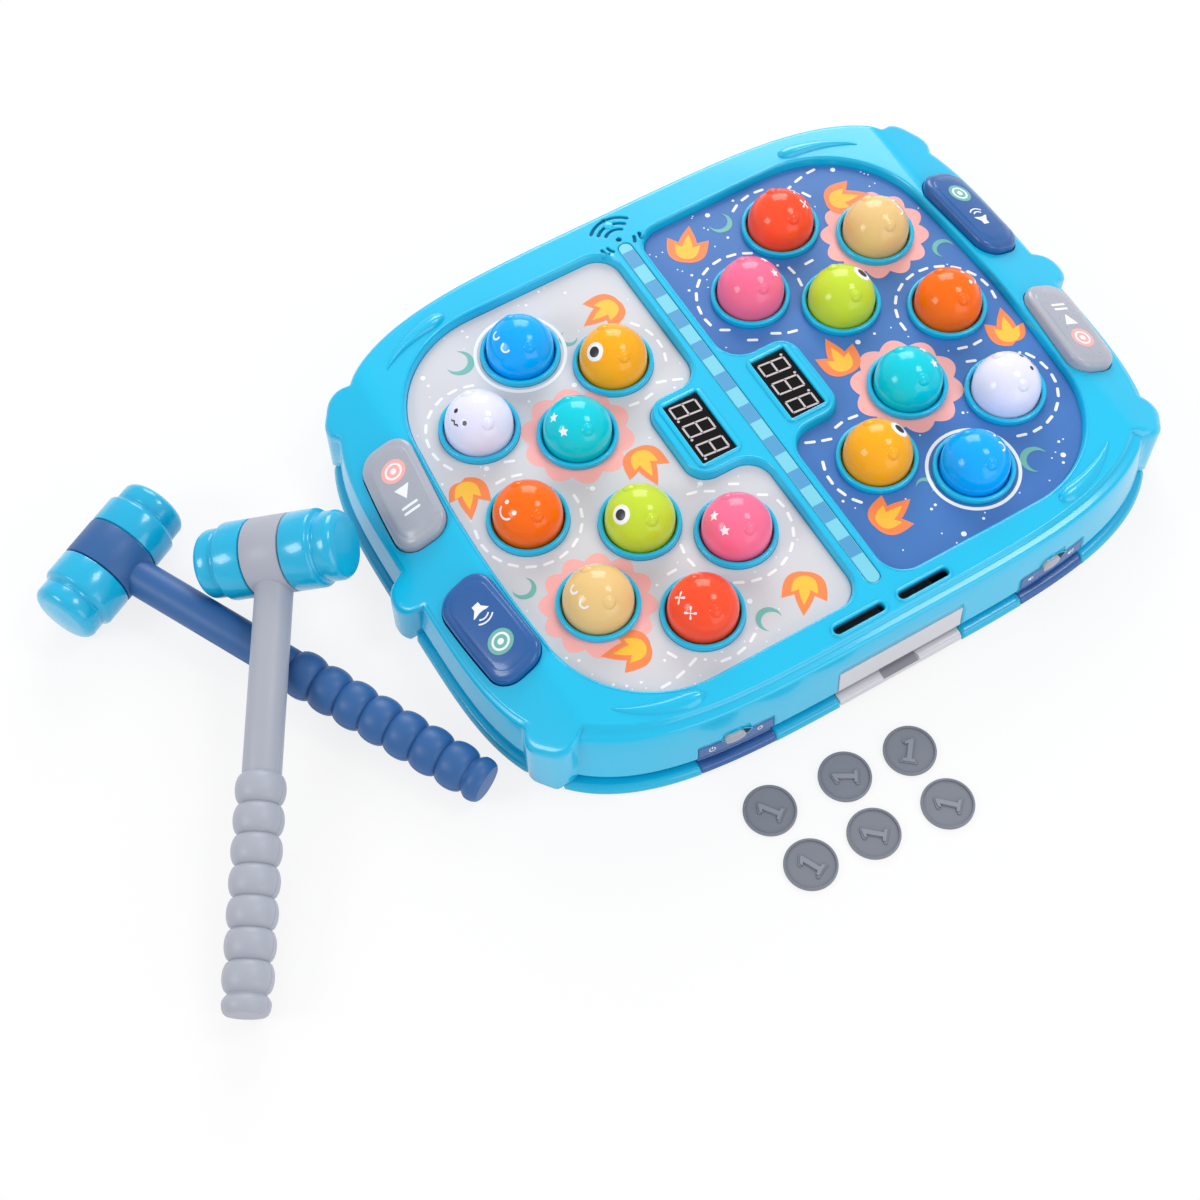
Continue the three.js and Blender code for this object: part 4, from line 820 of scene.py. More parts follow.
@dataclass
class Casing:
    """The upper and lower casing: wall, rim, wings, fields, slots and grille."""

    palette: Palette
    outline: Outline = field(default_factory=Outline)
    pads: list[Pad] = field(default_factory=all_pads)
    spacing: float = 1.7
    drawer_half: float = 37.3
    plate_inner: float = 74.2
    plate_outer: float = 115.8
    slot_inner: float = 87.5
    slot_outer: float = 102.5
    drawer_top: float = 28.2
    plate_top: float = 21.3
    slot_band: tuple[float, float] = (18.7, 23.7)
    wall_full: float = 43.0
    fold_z: float = 12.0
    field_depth: float = 5.5
    blend: float = 2.4

    def __post_init__(self) -> None:
        """Works out the stations and how far the pads reach at each."""
        marks = [self.drawer_half, self.plate_inner, self.slot_inner, self.slot_outer, self.plate_outer]
        self.angles = self.outline.stations(self.spacing, [s * m for m in marks for s in (1, -1)])
        self.base_x = self.outline.at(self.angles, np.zeros(len(self.angles)))[:, 0]
        self.base_y = self.outline.at(self.angles, np.zeros(len(self.angles)))[:, 1]
        tries = np.arange(-9.0, 14.0, 0.05)
        places = self.outline.at(self.angles[:, None], tries[None, :])
        held = np.zeros(places.shape[:2], bool)
        for pad in self.pads:
            held |= pad.distance(places) < 0
        self.pad_inset = np.where(held.any(1), tries[held.argmax(1)], 40.0)

    def wing_share(self) -> np.ndarray:
        """How far each station belongs to an end wing rather than the front or back."""
        return 1 - smooth(100.0, 112.0, np.abs(self.base_y))

    def outer_rows(self) -> np.ndarray:
        """The wall and its rounded top, as rows of points from the groove up."""
        wing = self.wing_share()
        back = smooth(-30.0, 30.0, self.base_y)
        padded = 1 - smooth(2.0, 7.0, self.pad_inset)
        top_inset, top_depth = [], []
        for front, rear, side, pad in zip(FRONT_TOP, BACK_TOP, WING_TOP, PAD_TOP):
            flat = [front[k] * (1 - back) + rear[k] * back for k in (0, 1)]
            plain = [flat[k] * (1 - wing) + side[k] * wing for k in (0, 1)]
            reach = self.pad_inset + pad[0]
            top_inset.append(soft_min(plain[0], reach, self.blend))
            top_depth.append(plain[1] * (1 - padded) + pad[1] * padded)
        rows = []
        crown = self.outline.at(self.angles, top_inset[0])
        crown_z = self.outline.roof(crown[:, 0]) - top_depth[0]
        foot = (1 - smooth(-0.8, 0.8, self.pad_inset)) * padded
        for inset, height in WALL_ROWS:
            reach = soft_min(np.full(len(self.angles), inset), self.pad_inset, self.blend)
            place = self.outline.at(self.angles, reach)
            if height > self.fold_z:
                share = (height - self.fold_z) / (self.wall_full - self.fold_z)
                level = self.fold_z + share * (crown_z - self.fold_z)
            else:
                level = np.full(len(self.angles), height)
            low = 0.5 + (height - WALL_ROWS[0][1]) * (crown_z - 0.5) / (self.wall_full - WALL_ROWS[0][1])
            rows.append(np.c_[place, level * (1 - foot) + low * foot])
        for inset, depth in zip(top_inset, top_depth):
            place = self.outline.at(self.angles, inset)
            rows.append(np.c_[place, self.outline.roof(place[:, 0]) - depth])
        return np.array(rows)

    def cuts(self, rows: Sequence[Sequence[float]], is_wall: bool) -> np.ndarray:
        """Which quads of the wall or lip are left open for the drawer, plates and switches.

        Args:
            rows: the inset and height pairs that make the rows.
            is_wall: whether these are wall rows, where the height sets each cut's top.

        Returns:
            True where a quad is left out.
        """
        count = len(self.angles)
        after = np.roll(self.base_x, -1)
        middle = (self.base_x + after) / 2
        front = self.base_y < 0
        open_quads = np.zeros((len(rows) - 1, count), bool)
        reach = np.abs(middle)
        for i in range(len(rows) - 1):
            low, high = rows[i][1], rows[i + 1][1]
            under_drawer = not is_wall or high <= self.drawer_top + 0.01
            under_plate = not is_wall or high <= self.plate_top + 0.01
            in_slot = is_wall and low >= self.slot_band[0] - 0.01 and high <= self.slot_band[1] + 0.01
            open_quads[i] |= front & (reach < self.drawer_half) & under_drawer
            open_quads[i] |= front & (reach > self.plate_inner) & (reach < self.plate_outer) & under_plate
            open_quads[i] |= front & (reach > self.slot_inner) & (reach < self.slot_outer) & in_slot
        return open_quads


@dataclass(frozen=True)
class FieldShape:
    """The right player's sunken field; the left one is a half turn of it."""

    inner: float = 9.0
    outer: float = 155.0
    bulge: float = 3.0
    half: float = 122.5
    big: float = 60.0
    small: float = 14.0
    notch_x: float = 45.0
    notch_half: float = 27.0
    notch_corner: float = 12.0
    fillet: float = 14.0

    def loop(self, side: Side, grow: float) -> np.ndarray:
        """The field's outline grown by a margin, always with the same number of points."""
        inner, outer, half = self.inner - grow, self.outer + grow, self.half + grow
        big, small = self.big + grow, self.small + grow
        notch_x, notch_half = self.notch_x - grow, self.notch_half - grow
        corner, fillet = self.notch_corner - grow, self.fillet + grow
        q = math.pi / 2
        share = np.linspace(-1, 1, 17)[1:-1]
        bulge = np.stack([outer + self.bulge * (1 - share ** 2), (half - big) * share], 1)
        parts = [
            arc_points((outer - big, -half + big), big, -q, 0, 26), bulge,
            arc_points((outer - big, half - big), big, 0, q, 26),
            arc_points((inner + small, half - small), small, q, 2 * q, 12),
            arc_points((inner + fillet, notch_half + fillet), fillet, 2 * q, 3 * q, 12),
            arc_points((notch_x - corner, notch_half - corner), corner, q, 0, 12),
            arc_points((notch_x - corner, -notch_half + corner), corner, 0, -q, 12),
            arc_points((inner + fillet, -notch_half - fillet), fillet, q, 2 * q, 12),
            arc_points((inner + small, -half + small), small, 2 * q, 3 * q, 12),
        ]
        return np.concatenate(parts) * side.value


@dataclass(frozen=True)
class ButtonShape:
    """A play button's outline on its sloping wing."""

    x: float = 174.0
    y: float = 44.5
    yaw: float = math.radians(5)
    half_across: float = 13.65
    half_along: float = 30.0
    corner: float = 10.5
    bulge: float = 0.9
    slope: float = math.radians(25.6)

    def local(self, grow: float) -> np.ndarray:
        """The outline about its own middle, with a bulging outer side."""
        loop = rounded_box(self.half_across + grow, self.half_along + grow, self.corner + grow, 12, 7)
        across, along = loop[:, 0], loop[:, 1]
        push = self.bulge * np.clip(across / self.half_across, 0, 1) * (1 - (along / self.half_along) ** 2)
        return np.stack([across + push, along], 1)

    def place(self, side: Side, end: int, points: np.ndarray) -> np.ndarray:
        """Moves local points, across and along, to a button's place seen from above."""
        mirrored = points * np.array([side.value, 1.0])
        return turned_about(mirrored, side.value * end * self.yaw, side.value * self.x, end * self.y)


def mole_places(side: Side) -> np.ndarray:
    """The middles of one player's nine moles, read from their solids, in millimetres."""
    return np.array([centre_of(*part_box(f"mole_{side.word}_{name}")) for name in MOLE_FINISHES])


# Each mole's colour, and the shade it drifts to
MOLE_FINISHES = {
    "blue": ("#00aeff", "#00a4fd"), "amber": ("#ffb11c", "#fda812"), "white": ("#e8e8fd", "#e1e1fa"),
    "teal": ("#04d2e2", "#00c9da"), "orange": ("#ff7008", "#fd6600"), "green": ("#c8e03c", "#c0d833"),
    "pink": ("#fd769c", "#fa6c93"), "tan": ("#ebc787", "#e5bf7d"), "red": ("#ff5530", "#fb4b26"),
}

# Grow and drop of each row, from the rim into the opening
FIELD_WALL = [(2.8, 0.0), (2.68, 0.0), (2.5, 0.2), (2.2, 0.34), (1.85, 0.28), (1.5, 0.02), (1.15, -0.35),
              (0.82, -0.9), (0.6, -1.7), (0.4, -3.0), (0.0, -5.5)]
SLOT_LIP = [(2.15, 0.0), (2.0, 0.0), (1.75, 0.4), (1.4, 0.9), (1.0, 1.08), (0.6, 1.0), (0.25, 0.6),
            (0.0, -0.1), (-0.05, -3.0)]
BUTTON_GAP = [(0.78, 0.0), (0.7, 0.0), (0.62, -0.1), (0.42, -0.4), (0.35, -0.9), (0.35, -5.0)]
GRILLE_EDGE = [(0.5, 0.0), (0.36, 0.0), (0.16, -0.08), (0.03, -0.3), (0.0, -0.7), (0.0, -2.2)]
STRIP_EDGE = [(1.15, 0.0), (1.02, 0.0), (0.85, 0.2), (0.62, 0.3), (0.42, 0.22), (0.28, -0.05), (0.25, -0.8)]
WINDOW_STEPS = [(1.0, 0.0), (0.975, 0.0), (0.93, 0.12), (0.86, 0.5), (0.79, 0.86), (0.72, 1.0),
                (0.1, 1.0), (0.05, 0.95), (0.0, 0.7), (0.0, -2.6)]


# Columns of extra points where the rim bends down to the wings, so that its triangles follow the bend
CREASE_COLUMNS = np.array([153.5, 156.5, 158.5, 160.0, 161.2, 162.3,
                           163.4, 164.6, 166.0, 168.0, 171.0, 175.0])
# Radius and height of the small stud by the grille
STUD = [(0.0, 47.6), (2.5, 47.6), (2.5, 48.15), (2.3, 48.4), (1.9, 48.5), (0.0, 48.52)]
# The bend of a rim crescent's middle line, from its point to its round end
CRESCENT_LINE = np.array([[147.5, 113.0], [132.0, 127.0], [104.5, 129.2]])


class TopCasing(Casing):
    """The upper casing as one closed moulding, and the collars round its moles."""

    field_shape = FieldShape()
    button_shape = ButtonShape()
    slot_x = 19.0
    slot_y = -133.4
    grille_y = 124.0
    display_x = 26.8
    wall = 1.7
    # Height of the painted shade sheet under the grille's slots
    cloth_level = 46.4
    # A rim crescent's half width and height, and how far along it is widest
    horn_width = 4.6
    horn_height = 3.1
    horn_swell = 0.82
    # Half length, half width and corner of a coin slot and of the strip's channel
    slot_half = (14.5, 2.3, 2.2)
    strip_half = (3.7, 120.75, 3.5)
    strip_y = 0.25
    # The grille: its round middle hole, the slots' width, and how far back the stud stands
    hub_back = 0.6
    hub_radius = 1.5
    grille_slot = 1.8
    stud_back = 11.4
    # A mole's hole in the field's floor and how far its edge hangs down
    mole_hole = 18.8
    hole_edge = 2.4

    def well(self, form: Form, outline: Callable[[float], np.ndarray], rows: Sequence[Sequence[float]],
             floor: Optional[float] = None) -> np.ndarray:
        """Adds the rounded edge and walls of an opening in the rim.

        Args:
            form: gets the faces.
            outline: gives the opening's outline for a grow value.
            rows: grow and height pairs from the rim inwards.
            floor: a fixed height for the last row, if it has one.

        Returns:
            The opening's outline in the rim.
        """
        levels = []
        for grow, rise in rows:
            loop = outline(grow)
            levels.append(np.c_[loop, self.outline.roof(loop[:, 0]) + rise])
        if floor is not None:
            levels[-1][:, 2] = floor
        form.strip(np.array(levels))
        return levels[0][:, :2]

    def grille_paths(self) -> list[np.ndarray]:
        """The middle lines of the speaker grille's curved slots."""
        up = math.pi / 2
        centre = (0.0, self.grille_y)
        paths = [arc_points(centre, 7.6, up - 0.7, up + 0.7, 15)]
        for sign in (1, -1):
            for radius, near, far in ((11.6, 0.26, 0.78), (15.6, 0.07, 0.8)):
                paths.append(arc_points(centre, radius, up + sign * near, up + sign * far, 11))
        for sign in (1, -1):
            for radius, lean, span in ((8.3, 1.98, 0.22), (11.7, 1.8, 0.13)):
                middle = up + sign * lean
                paths.append(arc_points(centre, radius, middle - span, middle + span, 9))
        return paths

    def window_loop(self, side: Side, share: float) -> np.ndarray:
        """A display window's outline, from the opening at 0 to the foot of its raised frame at 1."""
        loop = rounded_box(10.25 + 3.3 * share, 20.0 + 2.5 * share, 0.6 + 4.4 * share, 8, 4)
        return loop + np.array([side.value * self.display_x, 0.0])

    def horn(self, form: Form, sign_x: int, sign_y: int) -> None:
        """Adds one raised crescent on a rim corner: a tapered point that swells to a round end."""
        t = np.linspace(0, 1, 34)[:, None]
        start, bend, end = CRESCENT_LINE
        spine = (1 - t) ** 2 * start + 2 * t * (1 - t) * bend + t ** 2 * end
        along = np.gradient(spine, axis=0)
        along /= np.linalg.norm(along, axis=1)[:, None]
        outward = np.stack([-along[:, 1], along[:, 0]], 1)
        outward *= np.sign((outward * spine).sum(1))[:, None]
        t = t[:, 0]
        swell = self.horn_swell
        round_end = np.sqrt(np.clip(1 - ((t - swell) / (1 - swell)) ** 2, 0, 1))
        width = self.horn_width * np.where(t < swell, np.clip(t / swell, 0, 1) ** 0.75, round_end)
        s = np.linspace(-1, 1, 13)
        peak = -0.25
        rise = np.where(s < peak, 1 - ((peak - s) / (1 + peak)) ** 2, 1 - ((s - peak) / (1 - peak)) ** 2)
        rise = np.clip(rise, 0, 1) ** 0.85
        rings = []
        for k in range(len(t)):
            edge = spine[k] + outward[k] * width[k] * s[:, None]
            under = spine[k] + outward[k] * width[k] * np.array([0.5, -0.5])[:, None]
            tall = self.horn_height * (width[k] / self.horn_width) ** 0.6
            top = np.c_[edge, self.outline.roof(edge[:, 0]) - 0.25 + tall * rise]
            low = np.c_[under, self.outline.roof(under[:, 0]) - 0.6]
            rings.append(np.r_[top, low])
        rows = np.array(rings) * np.array([sign_x, sign_y, 1.0])
        form.strip(rows)

    def build(self) -> None:
        """Builds the upper casing and the collars."""
        form = Form()
        rows = self.outer_rows()
        levels = list(WALL_ROWS) + [(0.0, 60.0)] * len(FRONT_TOP)
        form.strip(rows, skip=self.cuts(levels, True))
        loops = [rows[-1][:, :2]]
        floor = self.outline.rim_top - self.field_depth
        for side in Side:
            loops.append(self.well(form, lambda g, s=side: self.field_shape.loop(s, g), FIELD_WALL, floor))
            slot = np.array([side.value * self.slot_x, self.slot_y])
            loops.append(self.well(
                form, lambda g, at=slot: rounded_box(*(h + g for h in self.slot_half)) + at, SLOT_LIP))
            loops.append(self.well(form, lambda g, s=side: self.window_loop(s, g), WINDOW_STEPS))
            for end in (1, -1):
                def outline(g: float, s: Side = side, e: int = end) -> np.ndarray:
                    """One button hole's outline."""
                    return self.button_shape.place(s, e, self.button_shape.local(g))
                loops.append(self.well(form, outline, BUTTON_GAP))
        middle = np.array([0.0, self.strip_y])
        loops.append(self.well(
            form, lambda g: rounded_box(*(h + g for h in self.strip_half), 12, 20) + middle, STRIP_EDGE))
        hub_y = self.grille_y + self.hub_back
        loops.append(self.well(form, lambda g: circle(0, hub_y, self.hub_radius + g, 28), GRILLE_EDGE))
        for path in self.grille_paths():
            loops.append(self.well(form, lambda g, p=path: stroke(p, self.grille_slot + 2 * g), GRILLE_EDGE))
        self.add_rim(form, loops)
        for side in Side:
            holes = [circle(x, y, self.mole_hole) for x, y in mole_places(side)]
            places, faces = fill([self.field_shape.loop(side, 0.0), *holes])
            form.add(at_height(places, floor), faces)
            for hole in holes:
                form.strip(np.array([at_height(hole, z) for z in (floor, floor - self.hole_edge)]))
        shell = form.object("upper_casing", [self.palette.shell], sharp=40)
        thicken(shell, 1, self.wall)
        # A deep teal sheet under the slots: painted shade for the hollow seen through the grille
        cloth = Form()

        def seat(points: np.ndarray, lift: float) -> np.ndarray:
            """The level of the painted shade sheet under the slots."""
            return at_height(points, self.cloth_level + lift)
        for index, path in enumerate(self.grille_paths()):
            cloth.patch([stroke(path, 2.7)], seat, 0, 0.6, 0.01 * index, 0.7)
        cloth.patch([circle(0, hub_y, 2.1, 24)], seat, 0, 0.0, -0.9, 1.4)
        slot_shade_sheet = cloth.object("grille_painted_slot_shade", [self.palette.cloth])
        dress(slot_shade_sheet, "console", "dark_plastic")
        horns = Form()
        for sign_x in (1, -1):
            for sign_y in (1, -1):
                self.horn(horns, sign_x, sign_y)
        horns.lathe(STUD, 32, Matrix.Translation((0.0, self.grille_y + self.stud_back, 0.0)))
        crescents = horns.object("rim_crescents", [self.palette.shell], sharp=60)
        dress(shell, "console", "shell_blue", "top_shell")
        dress(crescents, "console", "shell_blue")
        dress(self.collars(), "console", "shell_blue")

    def add_rim(self, form: Form, loops: Sequence[np.ndarray]) -> None:
        """Adds the rim and wings between the outer edge and every opening."""
        ys = np.arange(-140.0, 140.0, 2.6)
        extra = np.stack(np.meshgrid(np.r_[CREASE_COLUMNS, -CREASE_COLUMNS], ys), -1).reshape(-1, 2)
        extra = extra[inside(extra, loops)]
        extra = extra[clearance(extra, loops) > 0.8]
        places, faces = fill(loops, extra)
        form.add(np.c_[places, self.outline.roof(places[:, 0])], faces)

    def collars(self) -> bpy.types.Object:
        """The rounded rings that the moles pop out of, from one profile on every place."""
        scatter = Scatter("collar_rings", {"Ring radius": 19.85, "Ring width": 2.5, "Ring height": 4.7,
                                           "Edge radius": 1.05}, self.palette.shell)
        tree = scatter.tree
        ring = add_node(tree, "GeometryNodeCurvePrimitiveCircle", values={"Resolution": 72},
                        links={"Radius": scatter.size("Ring radius")})
        bar = add_node(tree, "GeometryNodeCurvePrimitiveQuadrilateral",
                       links={"Width": scatter.size("Ring width"), "Height": scatter.size("Ring height")})
        edge = add_node(tree, "GeometryNodeFilletCurve", {"mode": "POLY"}, {"Count": 5},
                        {"Curve": bar.outputs[0], "Radius": scatter.size("Edge radius")})
        swept = add_node(tree, "GeometryNodeCurveToMesh",
                         links={"Curve": ring.outputs[0], "Profile Curve": edge.outputs[0]})
        scatter.close(swept.outputs[0])
        places = np.concatenate([mole_places(side) for side in Side])
        middle = self.outline.rim_top - self.field_depth + 1.75
        return scatter.run("mole_collars", at_height(places, middle))


# Radius and height of a screw's well, and grow and height of the battery cover's recess
SCREW_WELL = [(4.4, 0.0), (4.0, 0.15), (3.7, 0.6), (3.6, 11.0)]
COVER_RECESS = [(0.9, 0.0), (0.6, 0.1), (0.35, 0.5), (0.3, 2.2)]


class BottomCasing(Casing):
    """The lower casing: the lip, the underside and its openings."""

    cut_back = -138.7
    wall = 1.9

    def build(self) -> None:
        """Builds the lower casing."""
        form = Form()
        hidden = 1 - smooth(-1.2, 0.6, self.pad_inset)
        rows = []
        for inset, height in LIP_ROWS:
            tucked = np.maximum(inset, self.pad_inset + 4.5)
            reach = inset * (1 - hidden) + np.where(self.pad_inset < 20, tucked, inset) * hidden
            place = self.outline.at(self.angles, reach)
            rows.append(at_height(place, height))
        rows = np.array(rows)
        form.strip(rows, skip=self.cuts(LIP_ROWS, False))
        loops = [self.underside_edge(rows[-1][:, :2])]
        for i in range(1, 5):
            x, y = centre_of(*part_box(f"case_screw_{i}"))
            levels = [at_height(circle(x, y, radius, 28), z) for radius, z in SCREW_WELL]
            form.strip(np.array(levels))
            loops.append(levels[0][:, :2])
        low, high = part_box("battery_cover")
        middle = centre_of(low, high)
        half = ((high.x - low.x) / 2 / MM, (high.y - low.y) / 2 / MM)
        levels = []
        for grow, z in COVER_RECESS:
            loop = rounded_box(half[0] + grow, half[1] + grow, 1.0 + grow, 6, 4) + middle
            levels.append(at_height(loop, z))
        form.strip(np.array(levels))
        loops.append(levels[0][:, :2])
        places, faces = fill(loops)
        form.add(at_height(places, 0.0), [face[::-1] for face in faces])
        shell = form.object("lower_casing", [self.palette.base], sharp=40)
        thicken(shell, -1, self.wall)
        dress(shell, "console", "base_blue", "bottom_shell")

    def underside_edge(self, ring: np.ndarray) -> np.ndarray:
        """The underside's outline, with the bites for the drawer and the switch plates."""
        bites = [(-self.plate_outer, -self.plate_inner), (-self.drawer_half, self.drawer_half),
                 (self.plate_inner, self.plate_outer)]
        points = []
        for x0, (x, y), y0 in zip(self.base_x, ring, self.base_y):
            bite = next((b for b in bites if y0 < 0 and b[0] - 0.01 <= x0 <= b[1] + 0.01), None)
            if bite is None:
                points.append((x, y))
            elif abs(x0 - bite[0]) < 0.01:
                points += [(x, y), (bite[0], self.cut_back)]
            elif abs(x0 - bite[1]) < 0.01:
                points += [(bite[1], self.cut_back), (x, y)]
        return np.array(points)


# Printed films and the strip


@dataclass
class Film:
    """One field's printed film: its base colour, shapes in inks, dashes and specks."""

    side: Side
    palette: Palette
    top: float = 43.0
    thick: float = 0.38
    seed: int = 11
    shape: FieldShape = field(default_factory=FieldShape)
    dash_spots: np.ndarray = field(default_factory=lambda: np.empty((0, 2)))
    # Place and direction of each fan of leaves
    fans: Sequence[tuple[float, float, float]] = ((25, 96, 0.95), (19, -93, 0.2), (112, 92, -0.3),
                                                  (143, -38, 1.2), (59.5, -9, 1.5))
    # Which moles stand on a scalloped ring, and how many lobes it has
    rings: Sequence[tuple[int, int]] = ((3, 10), (7, 12))
    # Place, radius and turn of each crescent
    crescents: Sequence[tuple[float, float, float, float]] = ((54.5, -85.5, 4.8, 0.6), (111, -101, 7.5, 2.2),
                                                              (55, 109, 6.5, -1.2), (149, 33, 6.0, 1.9))

    # Radius of the collars' holes, of the holes in the scalloped rings, and both edges of the plain ring
    collar_hole: float = 21.3
    scallop_hole: float = 20.9
    plain_ring: tuple[float, float] = (24.6, 22.8)
    # How high the first print lies on the film, and how much higher each next one
    ink_lift: float = 0.03
    ink_step: float = 0.004

    def flat(self, points: np.ndarray, lift: float) -> np.ndarray:
        """The film's top surface at plane points, raised by a height."""
        return at_height(points, self.top + lift)

    def leaf(self, length: float, width: float, turn: float, x: float, y: float) -> np.ndarray:
        """A pointed leaf from its stalk end, turned and moved."""
        t = np.linspace(0, 1, 15)
        half = width / 2 * np.sin(math.pi * t ** 0.8)
        outline = np.r_[np.c_[t * length, half], np.c_[t * length, -half][::-1][1:-1]]
        return turned_about(outline, turn, x, y)

    def scallop(self, x: float, y: float, radius: float, lobes: int, swing: float) -> np.ndarray:
        """A flower-like wavy ring outline."""
        angles = np.linspace(0, math.tau, lobes * 10 + 1)[:-1]
        radii = radius + swing * np.abs(np.cos(angles * lobes / 2))
        return np.stack([x + radii * np.cos(angles), y + radii * np.sin(angles)], 1)

    def crescent(self, x: float, y: float, radius: float, turn: float) -> np.ndarray:
        """A crescent outline."""
        outer = arc_points((0, 0), radius, -2.2, 2.2, 22)
        inner = arc_points((-radius * 0.32, 0), radius * 0.852, 1.89, -1.89, 20)[1:-1]
        return turned_about(np.r_[outer, inner], turn, x, y)

    def build(self) -> None:
        """Builds the film with its prints, its dashes and its specks."""
        paper = self.palette.film_blue if self.side is Side.RIGHT else self.palette.film_grey
        inks = self.palette
        finishes = [paper, inks.ink_salmon, inks.ink_orange, inks.ink_yellow, inks.ink_teal, inks.ink_white]
        form = Form()
        holes = [circle(x, y, self.collar_hole, 64) for x, y in mole_places(self.side)]
        outline = self.shape.loop(self.side, -0.3)
        form.patch([outline, *holes], self.flat, 0, 0.0, 0.0, self.thick)
        places = mole_places(self.side) * self.side.value
        art: list[tuple[list[np.ndarray], int]] = []
        for index, lobes in self.rings:
            x, y = places[index]
            art.append(([self.scallop(x, y, 25.2, lobes, 4.2), circle(x, y, self.scallop_hole, 48)], 1))
        for x, y, turn in self.fans:
            for lean in (0.62, -0.62, 0.0):
                art.append(([self.leaf(25 - 9 * abs(lean), 10.5, turn + lean, x, y)], 2))
            for lean in (0.6, -0.6, 0.0):
                shift = np.array([x + 2.4 * math.cos(turn), y + 2.4 * math.sin(turn)])
                art.append(([self.leaf(16.5 - 8 * abs(lean), 5.6, turn + lean, *shift)], 3))
        for x, y, radius, turn in self.crescents:
            art.append(([self.crescent(x, y, radius, turn)], 4))
        x, y = places[0]
        art.append(([circle(x, y, radius, 60) for radius in self.plain_ring], 5))
        for index, (loops, slot) in enumerate(art):
            lift = self.ink_lift + self.ink_step * index
            loops = [loop * self.side.value for loop in loops]
            if inside(loops[0], [outline]).all():
                form.patch(loops, self.flat, slot, 0.0, lift, 0.1)
            else:
                self.trimmed(form, loops, slot, lift, outline)
        film = form.object(f"{self.side.word}_field_film", finishes, sharp=30, weld=0.0005)
        slot = "blue_print" if self.side is Side.RIGHT else "grey_print"
        dress(film, "console", slot, f"{self.side.word}_field_sheet")
        dress(self.dashes(), "console", slot)
        for piece in self.specks():
            dress(piece, "console", slot)

    def trimmed(self, form: Form, loops: Sequence[np.ndarray], slot: int, lift: float,
                outline: np.ndarray) -> None:
        """Adds a print whose outline is drawn in to stay on the film."""
        middle = loops[0].mean(0)
        for share in (0.9, 0.8, 0.7, 0.6):
            smaller = [(loop - middle) * share + middle for loop in loops]
            if inside(smaller[0], [outline]).all():
                form.patch(smaller, self.flat, slot, 0.0, lift, 0.1)
                return

    def free(self, points: np.ndarray, margin: float) -> np.ndarray:
        """Which points are on the film, clear of its edge and of the collars."""
        outline = self.shape.loop(self.side, 0.0)
        places = mole_places(self.side)
        apart = np.linalg.norm(points[:, None, :] - places[None, :, :], axis=2).min(1)
        return inside(points, [outline]) & (clearance(points, [outline]) > margin) & (apart > 21.5 + margin)

    def unprinted(self, points: np.ndarray, margin: float) -> np.ndarray:
        """Which points are clear of the fans, the crescents, the scalloped rings and the plain ring."""
        clear = np.ones(len(points), bool)
        for x, y, turn in self.fans:
            middle = np.array([x + 10 * math.cos(turn), y + 10 * math.sin(turn)]) * self.side.value
            clear &= np.linalg.norm(points - middle, axis=1) > 12.5 + margin
        for x, y, radius, _ in self.crescents:
            middle = np.array([x, y]) * self.side.value
            clear &= np.linalg.norm(points - middle, axis=1) > radius + 0.5 + margin
        places = mole_places(self.side)
        for index, reach in [(index, 29.4) for index, _ in self.rings] + [(0, self.plain_ring[0])]:
            clear &= np.linalg.norm(points - places[index], axis=1) > reach + margin
        return clear

    def routes(self) -> list[np.ndarray]:
        """The lines that the dashes follow: waves from end to end, and rings about some moles."""
        lines = []
        x = np.linspace(8, 158, 400)
        for base, swing, phase in ((-32, 7, 2.2), (40, 12, 1.2), (108, 6, 0.2)):
            lines.append(np.stack([x, base + swing * np.sin(x / 15.5 + phase)], 1))
        places = mole_places(self.side) * self.side.value
        for index, radius in ((1, 27.5), (2, 27.5), (4, 27.0), (6, 28.5), (8, 27.5)):
            lines.append(arc_points(places[index], radius, 0.0, math.tau, 200))
        return lines

    def dashes(self) -> bpy.types.Object:
        """White dashes along the routes, wherever the film is free."""
        spots, turns = [], []
        for line in self.routes():
            x, y = line.T
            run = np.r_[0, np.cumsum(np.hypot(np.diff(x), np.diff(y)))]
            at = np.arange(3, run[-1], run[-1] / round(run[-1] / 9.0))
            px, py = np.interp(at, run, x), np.interp(at, run, y)
            angle = np.arctan2(np.interp(at + 1, run, y) - py, np.interp(at + 1, run, x) - px)
            spots.append(np.stack([px, py], 1) * self.side.value)
            turns.append(angle)
        spots, turns = np.concatenate(spots), np.concatenate(turns)
        keep = self.free(spots, 2.6) & self.unprinted(spots, 3.0)
        for index in np.flatnonzero(keep):
            others = np.flatnonzero(keep[:index])
            keep[index] = np.linalg.norm(spots[others] - spots[index], axis=1).min(initial=99.0) > 8.2
        self.dash_spots = spots[keep]
        scatter = Scatter("print_dashes", {"Dash length": 6.0, "Dash width": 1.6, "Ink": 0.13},
                          self.palette.ink_white, sharp=True)
        tree = scatter.tree
        bar = add_node(tree, "GeometryNodeCurvePrimitiveQuadrilateral",
                       links={"Width": scatter.size("Dash length"), "Height": scatter.size("Dash width")})
        end = add_node(tree, "ShaderNodeMath", {"operation": "MULTIPLY"}, {1: 0.49},
                       {0: scatter.size("Dash width")})
        edge = add_node(tree, "GeometryNodeFilletCurve", {"mode": "POLY"}, {"Count": 4},
                        {"Curve": bar.outputs[0], "Radius": end.outputs[0]})
        rise = add_node(tree, "ShaderNodeCombineXYZ", links={"Z": scatter.size("Ink")})
        post = add_node(tree, "GeometryNodeCurvePrimitiveLine", links={"End": rise.outputs[0]})
        dash = add_node(tree, "GeometryNodeCurveToMesh", values={"Fill Caps": True},
                        links={"Curve": post.outputs[0], "Profile Curve": edge.outputs[0]})
        scatter.close(dash.outputs[0], aligned=True)
        zeros = np.zeros(keep.sum())
